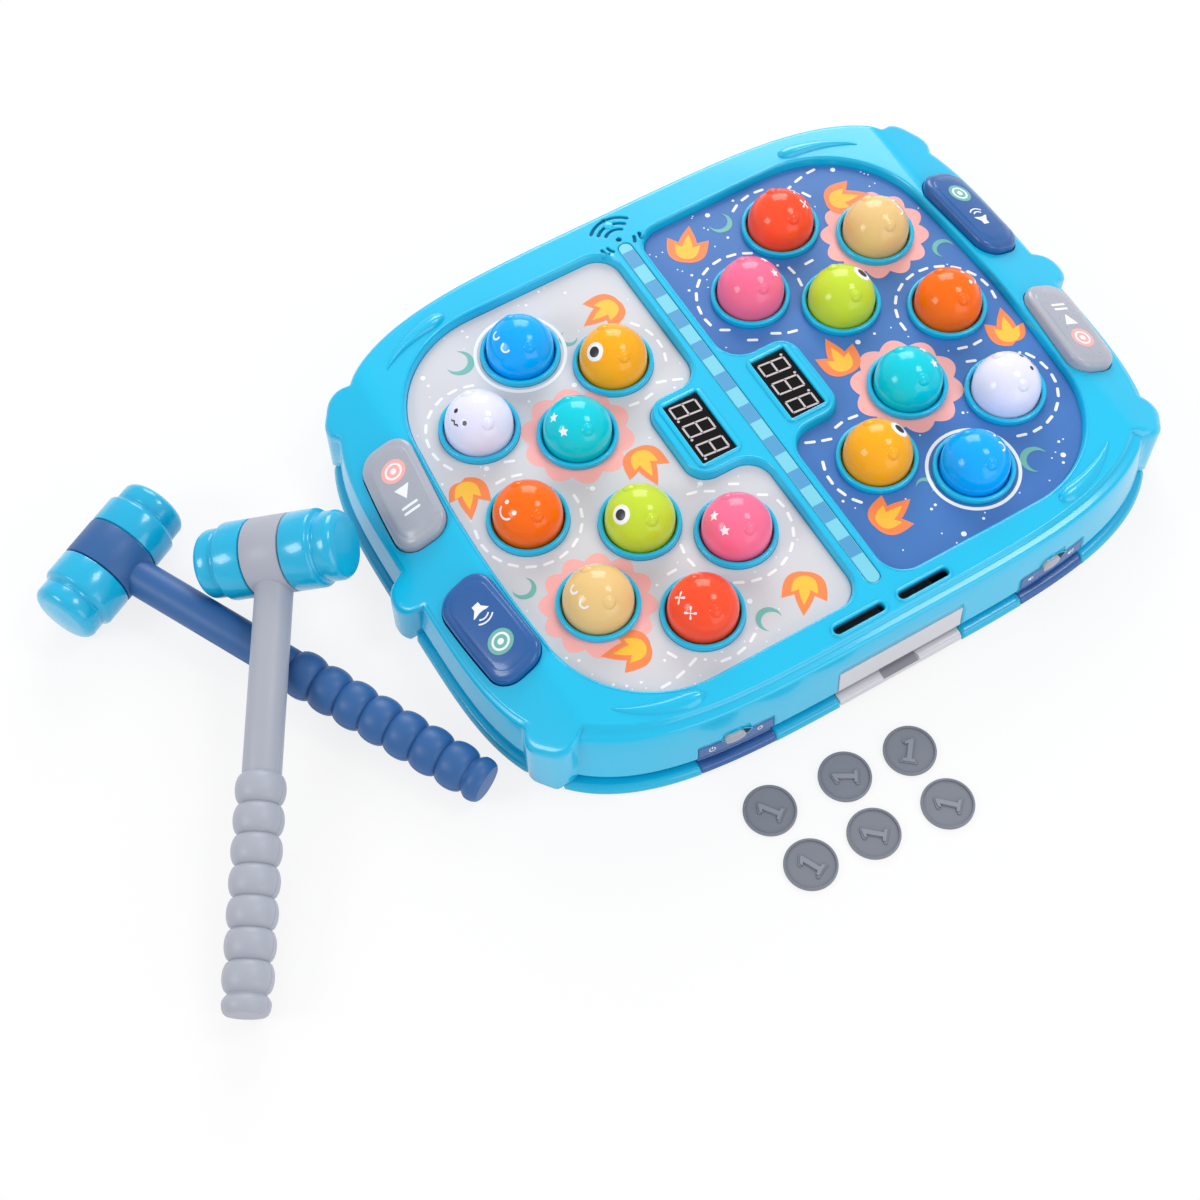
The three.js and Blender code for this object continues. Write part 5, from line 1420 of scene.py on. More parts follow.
        return scatter.run(f"{self.side.word}_film_dashes", self.flat(self.dash_spots, -0.05),
                           np.c_[zeros, zeros, turns[keep]])

    def specks(self) -> list[bpy.types.Object]:
        """Round white specks in three sizes, spread at random with a fixed seed."""
        rng = np.random.default_rng(self.seed + self.side.value)
        pieces = []
        for name, radius, count in (("fine", 0.45, 150), ("small", 0.8, 60), ("large", 1.45, 26)):
            spots = rng.uniform((8, -124), (158, 124), (count, 2)) * self.side.value
            spots = spots[self.free(spots, radius + 0.8) & self.unprinted(spots, radius)]
            gaps = np.linalg.norm(spots[:, None, :] - self.dash_spots[None, :, :], axis=2).min(1)
            spots = spots[gaps > radius + 3.8]
            scatter = Scatter(f"print_specks_{name}", {"Speck radius": radius, "Ink": 0.15, "Sides": 12},
                              self.palette.ink_white, sharp=True)
            disc = add_node(scatter.tree, "GeometryNodeMeshCylinder",
                            links={"Vertices": scatter.size("Sides"), "Radius": scatter.size("Speck radius"),
                                   "Depth": scatter.size("Ink")})
            scatter.close(disc.outputs["Mesh"])
            pieces.append(scatter.run(f"{self.side.word}_film_specks_{name}", self.flat(spots, 0.0)))
        return pieces


@dataclass
class DividerStrip:
    """The inlaid strip between the fields, printed in alternating tiles."""

    palette: Palette
    half_width: float = 3.65
    half_length: float = 120.7
    middle: float = 0.25
    top: float = 47.72
    pitch: float = 11.5
    thick: float = 0.5

    def surface(self, points: np.ndarray, lift: float) -> np.ndarray:
        """The strip's top at plane points, raised by a height."""
        return at_height(points, self.top + lift)

    def build(self) -> None:
        """Builds the strip and its tiles."""
        form = Form()
        outline = rounded_box(self.half_width, self.half_length, self.half_width - 0.05, 12)
        form.patch([outline + np.array([0, self.middle])], self.surface, 0, 0.0, 0.0, self.thick)
        count = int(self.half_length * 2 / self.pitch)
        start = -self.pitch * count / 2 + self.middle
        for i in range(1, count, 2):
            low = start + i * self.pitch
            tile = rounded_box(self.half_width - 0.25, self.pitch / 2 - 0.05, 0.2, 3)
            form.patch([tile + np.array([0, low + self.pitch / 2])], self.surface, 1, 0.0, 0.03, 0.1)
        strip = form.object("divider_tiles", [self.palette.tile_pale, self.palette.tile_deep], weld=0.0005)
        dress(strip, "console", "strip_print", "divider_strip")


# Moles


class Mark(Enum):
    """The plain printed marks on the moles."""

    DOTS_AND_ARC = 1
    STARS = 2
    TARGET = 3
    ARCS = 4
    CROSSES = 5
    DOTS_AND_WAVE = 6


MOLE_MARKS = {
    "blue": Mark.ARCS, "amber": Mark.TARGET, "white": Mark.DOTS_AND_WAVE, "teal": Mark.STARS,
    "orange": Mark.DOTS_AND_ARC, "green": Mark.TARGET, "pink": Mark.STARS, "tan": Mark.ARCS,
    "red": Mark.CROSSES,
}


@dataclass
class Mole:
    """One pop-up mole: a polished dome with two low ears and printed marks."""

    side: Side
    name: str
    palette: Palette
    finish: Finish
    radius: float = 17.7
    centre_z: float = 48.5
    inner: float = 15.9
    flange: float = 20.2
    flange_top: float = 39.8
    flange_bottom: float = 38.2
    sides: int = 72
    # An ear's radius, height, lean in degrees and distance from the dome's middle; the marks' tilt in degrees
    ear_radius: float = 4.0
    ear_height: float = 3.3
    ear_lean: float = 38.0
    ear_out: float = 15.6
    mark_tilt: float = 40.0

    def profile(self) -> list[tuple[float, float]]:
        """The closed section: inner hollow, flange, skirt and dome."""
        up = np.linspace(math.pi / 2, 0, 13)
        hollow = [(self.inner * math.cos(a), self.centre_z + self.inner * math.sin(a)) for a in up]
        dome = [(self.radius * math.cos(a), self.centre_z + self.radius * math.sin(a))
                for a in np.linspace(0, math.pi / 2, 25)]
        hollow[0] = (0.0, hollow[0][1])
        dome[-1] = (0.0, dome[-1][1])
        edge = [(self.inner, self.flange_bottom), (self.flange, self.flange_bottom),
                (self.flange, self.flange_top), (self.radius, self.flange_top)]
        return hollow + edge + dome

    def skin(self, bearing: float, tilt: float) -> Surface:
        """A surface function on the dome.

        Args:
            bearing: the mark's direction seen from above, in degrees.
            tilt: its angle down from the top, in degrees.

        Returns:
            A function from plane points and a height to places in space.
        """
        spin = Matrix.Rotation(math.radians(bearing), 3, "Z") @ Matrix.Rotation(math.radians(tilt), 3, "Y")
        across, along, out = (np.array(spin.col[i]) for i in range(3))
        centre = np.array([*self.place, self.centre_z])

        def surface(points: np.ndarray, lift: float) -> np.ndarray:
            """Places plane points on the dome."""
            ray = out * self.radius + points[:, :1] * across + points[:, 1:2] * along
            ray /= np.linalg.norm(ray, axis=1)[:, None]
            return centre + ray * (self.radius + lift)
        return surface

    def marks(self, mark: Mark) -> list[tuple[list[np.ndarray], int]]:
        """The printed shapes of one kind of mark, with their ink slots; x runs down the dome."""
        arc = stroke(arc_points((0.2, 0), 4.4, -1.2, 1.2, 15), 1.15)
        if mark is Mark.STARS:
            return [([star(5, 3.0, 1.5) + np.array([0, s * 5.2])], 1) for s in (1, -1)]
        if mark is Mark.TARGET:
            return [([circle(0, 0, 5.2, 40)], 1), ([circle(0.2, 0, 2.9, 28)], 2)]
        if mark is Mark.CROSSES:
            bar = np.array([[-2.1, -2.1], [2.1, 2.1]])
            return [([stroke(bar * np.array([k, 1]), 1.25) + np.array([0, s * 5.2])], 1)
                    for s in (1, -1) for k in (1, -1)]
        if mark is Mark.ARCS:
            hook = stroke(arc_points((-0.6, 0), 2.5, -1.7, 1.7, 13), 1.1)
            return [([hook + np.array([0, s * 4.8])], 1) for s in (1, -1)]
        if mark is Mark.DOTS_AND_WAVE:
            wave = np.array([[3.0 + 0.6 * math.sin(v * 2.2), v] for v in np.linspace(-2.6, 2.6, 17)])
            dots = [([circle(-1.4, s * 4.6, 1.35, 20)], 2) for s in (1, -1)]
            return dots + [([stroke(wave, 0.75)], 2)]
        return [([circle(-2.4, s * 3.8, 1.25, 20)], 1) for s in (1, -1)] + [([arc], 1)]

    def build(self) -> None:
        """Builds the mole."""
        node = f"mole_{self.side.word}_{self.name}"
        self.place = centre_of(*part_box(node))
        form = Form()
        spot = Matrix.Translation((self.place[0], self.place[1], 0))
        form.lathe(self.profile(), self.sides, spot)
        for sign in (1, -1):
            lean = Matrix.Rotation(-sign * math.radians(self.ear_lean), 4, "X")
            ear = (spot @ Matrix.Translation((0, 0, self.centre_z)) @ lean
                   @ Matrix.Translation((0, 0, self.ear_out)))
            profile = [(0.0, -0.5)] + [(self.ear_radius * math.cos(a), self.ear_height * math.sin(a))
                                       for a in np.linspace(0, math.pi / 2, 9)]
            profile[-1] = (0.0, self.ear_height)
            form.lathe(profile, 28, ear)
        facing = 180.0 if self.side is Side.LEFT else 0.0
        surface = self.skin(facing, self.mark_tilt)
        for index, (loops, slot) in enumerate(self.marks(MOLE_MARKS[self.name])):
            form.patch(loops, surface, slot, 0.7, 0.05 + 0.02 * index, 0.15)
        finishes = [self.finish, self.palette.ink_white, self.palette.ink_black]
        piece = form.object(f"mole_dome_{self.side.word}_{self.name}", finishes, sharp=38, weld=0.0005)
        dress(piece, f"{self.side.word}_{self.name}_mole", f"mole_{self.name}", node)


# Play buttons and displays


class Icon(Enum):
    """What a play button shows."""

    START = "start"
    SOUND = "sound"


# Share of the outline and dip of each row over a button's top: a fine groove, then the crown
CROWN_ROWS = [(0.955, 0.0), (0.94, -0.12), (0.915, -0.12), (0.9, 0.02), (0.75, 0.0), (0.6, 0.0), (0.45, 0.0),
              (0.3, 0.0), (0.15, 0.0)]


@dataclass
class PlayButton:
    """A crowned play button on a wing, with printed signs."""

    side: Side
    icon: Icon
    palette: Palette
    shape: ButtonShape = field(default_factory=ButtonShape)
    outline: Outline = field(default_factory=Outline)
    proud: float = 7.4
    crown: float = 1.5
    edge: Sequence[tuple[float, float]] = ((0.0, -6.5), (0.0, 0.6), (-0.05, 2.6), (-0.35, 3.9),
                                           (-1.0, 4.9), (-1.9, 5.5), (-2.8, 5.85))

    @property
    def end(self) -> int:
        """Which end of the wing the button is at: +1 at the back."""
        return self.side.value * (1 if self.icon is Icon.SOUND else -1)

    def height(self, local: np.ndarray) -> np.ndarray:
        """The crowned top's height above the wing at local points."""
        across, along = local[:, 0] / self.shape.half_across, local[:, 1] / self.shape.half_along
        return self.proud - self.crown * (0.55 * across ** 2 + 0.75 * along ** 2)

    def place(self, local: np.ndarray, height: np.ndarray) -> np.ndarray:
        """Moves local points to the wing, at heights measured square to it."""
        plan = self.shape.place(self.side, self.end, local)
        wing = self.outline.rim_top - self.outline.slope * (np.abs(plan[:, 0]) - self.outline.crease)
        tilt = self.shape.slope
        out = height * math.sin(tilt) * self.side.value * 0.35
        return np.c_[plan[:, 0] + out, plan[:, 1], wing + height * math.cos(tilt)]

    def top(self, points: np.ndarray, lift: float) -> np.ndarray:
        """The button's top surface at sign coordinates: up is away from the player."""
        local = np.stack([-points[:, 1], points[:, 0]], 1)
        local = local if self.side is Side.RIGHT else local * np.array([1.0, -1.0])
        return self.place(local, self.height(local) + lift)

    def signs(self) -> list[tuple[list[np.ndarray], int]]:
        """The printed signs with their ink slots, in sign coordinates."""
        if self.icon is Icon.START:
            triangle = np.array([[-3.4, -4.0], [3.8, 0.0], [-3.4, 4.0]]) + np.array([1.8, 0.4])
            bars = [rounded_box(0.7, 4.4, 0.6, 4) + np.array([x, 0.2]) for x in (9.6, 12.8)]
            disc, back = np.array([-11.5, 0.3]), 3
            signs = [([triangle], 1), ([bars[0]], 1), ([bars[1]], 1)]
        else:
            at = np.array([-8.5, 0.6])
            horn = np.array([[-4.6, -1.9], [-2.2, -1.9], [1.2, -4.6], [1.2, 4.6], [-2.2, 1.9], [-4.6, 1.9]])
            waves = [stroke(arc_points((0.9, 0), r, -0.75, 0.75, 11), 0.8) for r in (3.6, 5.8)]
            disc, back = np.array([11.0, -0.6]), 4
            signs = [([horn + at], 1), ([waves[0] + at], 1), ([waves[1] + at], 1)]
        ring = [circle(*disc, 4.5, 40), circle(*disc, 3.4, 36)]
        return signs + [([circle(*disc, 6.4, 44)], back), (ring, 1), ([circle(*disc, 1.6, 24)], 1)]

    def build(self) -> None:
        """Builds the button."""
        form = Form()
        rows = [self.place(self.shape.local(grow), np.full(len(self.shape.local(grow)), height))
                for grow, height in self.edge]
        last = self.shape.local(self.edge[-1][0])
        for share, dip in CROWN_ROWS:
            local = last * share
            blend = smooth(1.0, 0.9, share) if share > 0.9 else 1.0
            height = self.edge[-1][1] * (1 - blend) + self.height(local) * blend + dip
            rows.append(self.place(local, height))
        form.block(rows)
        for index, (loops, slot) in enumerate(self.signs()):
            form.patch(loops, self.top, slot, 1.0, 0.05 + 0.015 * index, 0.15)
        grey = self.icon is Icon.START
        main = self.palette.grey if grey else self.palette.navy
        inks = [main, self.palette.ink_white, self.palette.ink_black, self.palette.ink_salmon,
                self.palette.ink_teal]
        name = f"{self.side.word}_{self.icon.value}"
        piece = form.object(f"{name}_cap", inks, sharp=35, weld=0.0005)
        dress(piece, name, "grey_plastic" if grey else "navy_plastic", f"{name}_button")


@dataclass
class ScoreDisplay:
    """A three-digit display behind a smoked window, read from its own player's end."""

    side: Side
    palette: Palette
    x: float = 26.8
    half_x: float = 10.15
    half_y: float = 19.9
    glass: float = 47.3
    pitch: float = 13.0
    digit_long: float = 14.6
    digit_wide: float = 7.4
    lean: float = 0.1
    stroke_width: float = 1.05

    def surface(self, points: np.ndarray, lift: float) -> np.ndarray:
        """The window's top at reading coordinates: x to the reader's right, y up."""
        s = self.side.value
        return np.c_[self.x * s - points[:, 1] * s, points[:, 0] * s,
                     np.full(len(points), self.glass + lift)]

    def segments(self, middle: float) -> list[np.ndarray]:
        """The seven bars and the dot of one digit."""
        w, h = self.digit_wide / 2, self.digit_long / 2
        gap = 0.28
        lines = []
        for level in (-h, 0.0, h):
            lines.append([(-w + gap, level), (w - gap, level)])
        for x in (-w, w):
            lines += [[(x, gap), (x, h - gap)], [(x, -h + gap), (x, -gap)]]
        loops = []
        for line in lines:
            path = np.array([(x + self.lean * y + middle, y) for x, y in line])
            loops.append(stroke(path, self.stroke_width, 1))
        loops.append(circle(middle + w + 1.7 - self.lean * h, -h + 0.2, 0.75, 16))
        return loops

    def build(self) -> None:
        """Builds the display module with its window and digits."""
        form = Form()
        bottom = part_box(f"{self.side.word}_display")[0].z / MM
        centre = np.array([self.side.value * self.x, 0.0])
        levels = []
        for half_x, half_y, radius, z in ((12.0, 21.8, 0.8, bottom), (12.0, 21.8, 0.8, 44.6),
                                          (11.6, 21.4, 0.8, 45.1), (self.half_x, self.half_y, 0.5, 45.1),
                                          (self.half_x, self.half_y, 0.5, self.glass - 0.35),
                                          (self.half_x - 0.3, self.half_y - 0.3, 0.4, self.glass)):
            loop = rounded_box(half_x, half_y, radius, 5) + centre
            levels.append(at_height(loop, z))
        form.block(levels)
        for place in (-1, 0, 1):
            for loop in self.segments(place * self.pitch - 0.6):
                form.patch([loop], self.surface, 1, 0.0, 0.03, 0.1)
        name = f"{self.side.word}_display"
        piece = form.object(f"{self.side.word}_score_window", [self.palette.window, self.palette.segment],
                            weld=0.0005)
        dress(piece, "console", "display_black", name)


# The front: drawer, plates and switches


# Inset and height of the front's outer face, from its underside up the lip, groove and wall
FRONT_FACE = [(10.2, 0.9), (3.0, 0.6), (1.6, 0.6), (0.95, 0.85), (0.4, 1.5), (0.1, 2.2), (0.25, 2.8),
              (0.6, 3.7), (0.85, 4.3), (1.2, 4.8), (1.9, 5.4), (2.9, 5.65), (5.4, 5.75), (5.95, 6.3),
              (5.92, 8.7), (5.55, 9.6), (4.5, 11.0), (4.0, 11.6), (3.82, 12.2), (3.85, 13.2), (4.1, 15.6),
              (4.4, 18.7)]


@dataclass
class FrontPiece:
    """A piece that fills an opening in the front and follows its lip, groove and wall."""

    outline: Outline
    left: float
    right: float
    top: float
    bottom: float = 0.6
    notch: float = 0.0
    depth: float = 10.2
    scoop: float = 8.9
    # Heights of the notch's hollow, scooped back and painted in shade, and of the groove, painted in shade
    # along the whole width
    hollow: tuple[float, float] = (4.5, 9.0)
    groove: tuple[float, float] = (5.7, 8.8)

    def section(self) -> np.ndarray:
        """The closed section of inset and height, with a rounded upper edge."""
        lean = 0.055
        upper = [(4.4 + lean * (self.top - 18.7 - back), self.top - back) for back in (2.6, 1.1)]
        upper = [row for row in upper if row[1] > FRONT_FACE[-1][1] + 0.1]
        edge = 4.4 + lean * (self.top - 18.7)
        rows = [(self.depth, FRONT_FACE[0][1])] + FRONT_FACE[1:] + upper
        rows += [(edge + 0.06, self.top - 0.45), (edge + 0.3, self.top - 0.1), (edge + 0.75, self.top),
                 (self.depth, self.top)]
        return np.array(rows)

    @staticmethod
    def between(section: np.ndarray, heights: tuple[float, float]) -> np.ndarray:
        """Which rows of the section lie between two heights."""
        return (section[:, 1] > heights[0]) & (section[:, 1] < heights[1])

    def at(self, x: float, shrink: float) -> np.ndarray:
        """The section at one x, drawn in by a margin for the rounded ends."""
        section = self.section()
        share = float(1 - smooth(self.notch - 0.9, self.notch + 0.5, abs(x))) if self.notch else 0.0
        hollow = self.between(section, self.hollow)
        inset = section[:, 0] + shrink
        inset = np.where(hollow, inset * (1 - share) + np.maximum(inset, self.scoop) * share, inset)
        y = self.outline.front_y(x, inset)
        z = np.clip(section[:, 1], self.bottom + shrink, self.top - shrink)
        return np.c_[np.full(len(section), x), y, z]

    def add_to(self, form: Form) -> None:
        """Adds the closed piece to a form."""
        stations = [(self.left, 0.5), (self.left + 0.12, 0.18), (self.left + 0.4, 0.0)]
        middle = np.linspace(self.left + 1.2, self.right - 1.2, max(8, int((self.right - self.left) / 1.6)))
        if self.notch:
            marks = [s * (self.notch + d) for s in (1, -1) for d in (-1.1, -0.7, -0.4, -0.1, 0.2, 0.45, 0.7)]
            middle = np.sort(np.r_[middle[np.abs(np.abs(middle) - self.notch) > 1.5], marks])
        stations += [(x, 0.0) for x in middle]
        stations += [(self.right - 0.4, 0.0), (self.right - 0.12, 0.18), (self.right, 0.5)]
        rows = np.array([self.at(x, shrink) for x, shrink in stations])
        first = len(form.slots)
        form.strip(rows)
        # Faces in the notch, and along the groove elsewhere, take slot 1: painted shade
        if self.notch:
            hollow = self.between(self.section(), self.hollow)
            groove = self.between(self.section(), self.groove)
            notch_shade_faces = np.flatnonzero(hollow | np.roll(hollow, -1))
            groove_shade_faces = np.flatnonzero(groove & np.roll(groove, -1))
            for i in range(len(stations) - 1):
                within = max(abs(stations[i][0]), abs(stations[i + 1][0])) < self.notch - 0.3
                for j in (notch_shade_faces if within else groove_shade_faces):
                    form.slots[first + i * rows.shape[1] + j] = 1
        for row in (rows[0], rows[-1]):
            places, faces = fill([row[:, 1:]])
            form.add(np.c_[np.full(len(places), row[0, 0]), places], faces)


@dataclass
class Drawer:
    """The coin drawer: a front face with a finger notch, and its open tray."""

    palette: Palette
    outline: Outline = field(default_factory=Outline)
    half: float = 36.85
    top: float = 27.75
    bottom: float = 2.65
    notch: float = 10.8
    tray_half: float = 33.5
    tray_front: float = -142.4
    tray_back: float = -99.0
    tray_bottom: float = 2.6
    tray_top: float = 23.6
    wall: float = 1.8

    def build(self) -> None:
        """Builds the drawer."""
        form = Form()
        FrontPiece(self.outline, -self.half, self.half, self.top, self.bottom, self.notch,
                   depth=12.4, scoop=9.4).add_to(form)
        middle = np.array([0.0, (self.tray_front + self.tray_back) / 2])
        half_y = (self.tray_back - self.tray_front) / 2
        levels = []
        low, high, wall = self.tray_bottom, self.tray_top, self.wall
        for shrink, z in ((0.5, low), (0.15, low + 0.2), (0.0, low + 0.7), (0.0, high - 0.5),
                          (0.15, high - 0.1), (0.5, high), (wall - 0.4, high), (wall, high - 0.4),
                          (wall, low + 4.2), (wall + 0.7, low + 2.7), (wall + 2.4, low + 2.0)):
            loop = rounded_box(self.tray_half - shrink, half_y - shrink, max(2.6 - shrink, 0.6), 6) + middle
            levels.append(at_height(loop, z))
        form.strip(np.array(levels))
        form.add(levels[0], [range(len(levels[0]) - 1, -1, -1)])
        form.add(levels[-1], [range(len(levels[-1]))])
        # Slot 1 is the painted shade in the notch and along the groove
        piece = form.object("coin_tray", [self.palette.pale, self.palette.recess], sharp=32)
        dress(piece, "drawer", "grey_plastic", "coin_drawer")


@dataclass
class SwitchPlate:
    """A navy plate at the front, its printed sign, the switch recess and the sliding knob."""

    side: Side
    palette: Palette
    outline: Outline = field(default_factory=Outline)
    inner: float = 74.5
    outer: float = 115.5
    top: float = 21.0
    switch_x: float = 95.0
    switch_z: float = 21.2
    eye_half: float = 7.8
    eye_tall: float = 3.9

    def front(self, x: np.ndarray, z: np.ndarray, lift: float) -> np.ndarray:
        """Places on the front wall at given x and z, raised by a height."""
        inset = np.where(z < self.top + 0.1, 4.15 + 0.075 * (z - 15.6), 4.62 + 0.09 * (z - 21.3)) - lift
        return np.stack(np.broadcast_arrays(x, self.outline.front_y(x, inset), z), -1)

    def face(self, points: np.ndarray, lift: float) -> np.ndarray:
        """The wall about the switch, in its own across and up coordinates."""
        return self.front(points[:, 0] + self.side.value * self.switch_x, points[:, 1] + self.switch_z, lift)

    def signs(self) -> list[list[np.ndarray]]:
        """The signs printed on the plate beside the switch: power or loudness."""
        if self.side is Side.LEFT:
            gap = arc_points((0, 0), 1.55, math.pi / 2 + 0.6, math.pi / 2 + math.tau - 0.6, 25)
            ring = stroke(gap, 0.5)
            bar = stroke(np.array([[0, 0.5], [0, 2.2]]), 0.5)
            dot = circle(12.6, -3.8, 1.5, 24)
            return [[ring + np.array([-13.4, -4.6])], [bar + np.array([-13.4, -4.6])],
                    [dot, circle(12.6, -3.8, 1.0, 20)]]
        horn = np.array([[-1.6, -0.6], [-0.8, -0.6], [0.3, -1.6], [0.3, 1.6], [-0.8, 0.6], [-1.6, 0.6]])
        loops = []
        for x, waves in ((-14.4, 1), (12.0, 2)):
            at = np.array([x, -4.2])
            loops.append([horn + at])
            loops += [[stroke(arc_points((0.2, 0), 1.2 + 0.9 * k, -0.7, 0.7, 7), 0.42) + at]
                      for k in range(waves)]
        return loops

    def knob_face(self, points: np.ndarray, lift: float) -> np.ndarray:
        """The knob's crowned and ribbed front, in across and up coordinates."""
        middle = centre_of(*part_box(f"{self.side.word}_switch_knob"))[0]
        across, up = points[:, 0] / 5.6, points[:, 1] / 3.6
        crown = 2.1 * np.sqrt(np.clip(1 - 0.5 * across ** 2 - 0.62 * up ** 2, 0, 1))
        rib = 0.16 * np.cos(points[:, 0] * math.tau / 1.15) * np.clip(1.15 - np.abs(up) - 0.2, 0, 1)
        height = crown + rib if lift > 0 else np.zeros(len(points))
        return self.front(points[:, 0] + middle, points[:, 1] + self.switch_z, height + lift)

    def build(self) -> None:
        """Builds the plate, the recess and the knob."""
        form = Form()
        ends = sorted((self.side.value * self.inner, self.side.value * self.outer))
        FrontPiece(self.outline, ends[0], ends[1], self.top).add_to(form)
        t = np.linspace(-1, 1, 25)
        lens = np.r_[np.c_[t * self.eye_half, -self.eye_tall * (1 - t ** 2)],
                     np.c_[t[::-1] * self.eye_half, self.eye_tall * (1 - t[::-1] ** 2)][1:-1]]
        # A black lens across the slot: painted shade for the hollow that the knob slides in, ringed in cyan
        form.patch([lens], self.face, 1, 1.0, 0.1, 1.2)
        form.patch([lens * 1.1, lens * 1.02], self.face, 2, 0.0, 0.3, 1.0)
        for loops in self.signs():
            form.patch(loops, self.face, 3, 0.0, 0.12, 0.4)
        finishes = [self.palette.navy, self.palette.dark, self.palette.shell, self.palette.ink_white]
        plate = form.object(f"{self.side.word}_front_plate", finishes, sharp=32, weld=0.0005)
        dress(plate, "console", "navy_plastic", f"{self.side.word}_switch_plate")
        knob = Form()
        knob.patch([rounded_box(5.45, 3.45, 3.3, 9, 6)], self.knob_face, 0, 0.38, 0.12, 1.2)
        piece = knob.object(f"{self.side.word}_knob_ribbed", [self.palette.grey], sharp=70)
        dress(piece, f"{self.side.word}_switch", "grey_plastic", f"{self.side.word}_switch_knob")


# Coins and hammers


@dataclass
class Coin:
    """One play coin with a raised rim and the numeral 1."""

    number: int
    turn: float
    palette: Palette
    radius: float = 13.35
    floor: float = 1.15

    def numeral(self) -> np.ndarray:
        """The outline of a 1 with a flag and a foot."""
        return np.array([[-4.3, -7.0], [4.3, -7.0], [4.3, -5.4], [1.7, -5.0], [1.7, 7.1], [0.2, 7.1],
                         [-4.0, 4.9], [-4.0, 3.3], [-1.5, 4.2], [-1.5, -5.0], [-4.3, -5.4]])

    def build(self) -> None:
        """Builds the coin."""
        name = f"coin_{self.number}"
        low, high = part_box(name)
        x, y = centre_of(low, high)
        top = (high.z - low.z) / MM
        radius = min(self.radius, (high.x - low.x) / 2 / MM + 0.3)
        profile = [(0.0, 0.0), (radius - 0.7, 0.0), (radius - 0.2, 0.2), (radius, 0.6), (radius, top - 0.6),
                   (radius - 0.12, top - 0.15), (radius - 0.4, top), (radius - 0.95, top),
                   (radius - 1.15, top - 0.12), (radius - 1.35, self.floor), (radius - 2.4, self.floor),
                   (0.0, self.floor)]
        form = Form()
        form.lathe(profile, 72, Matrix.Translation((x, y, low.z / MM)))

        def face(points: np.ndarray, lift: float) -> np.ndarray:
            """The coin's sunken face, turned as the coin lies."""
            return at_height(turned_about(points, self.turn, x, y), self.floor + lift)
        form.patch([self.numeral()], face, 0, 0.0, top - self.floor - 0.5, 0.3)
        # The numeral's raised top takes the paler grey: painted highlight
        form.patch([self.numeral() * np.array([0.72, 0.88])], face, 1, 0.0, top - self.floor - 0.02, 0.3)
        piece = form.object(f"play_coin_{self.number}", [self.palette.coin, self.palette.rubbed], sharp=30)
        dress(piece, name, "coin_grey", name)


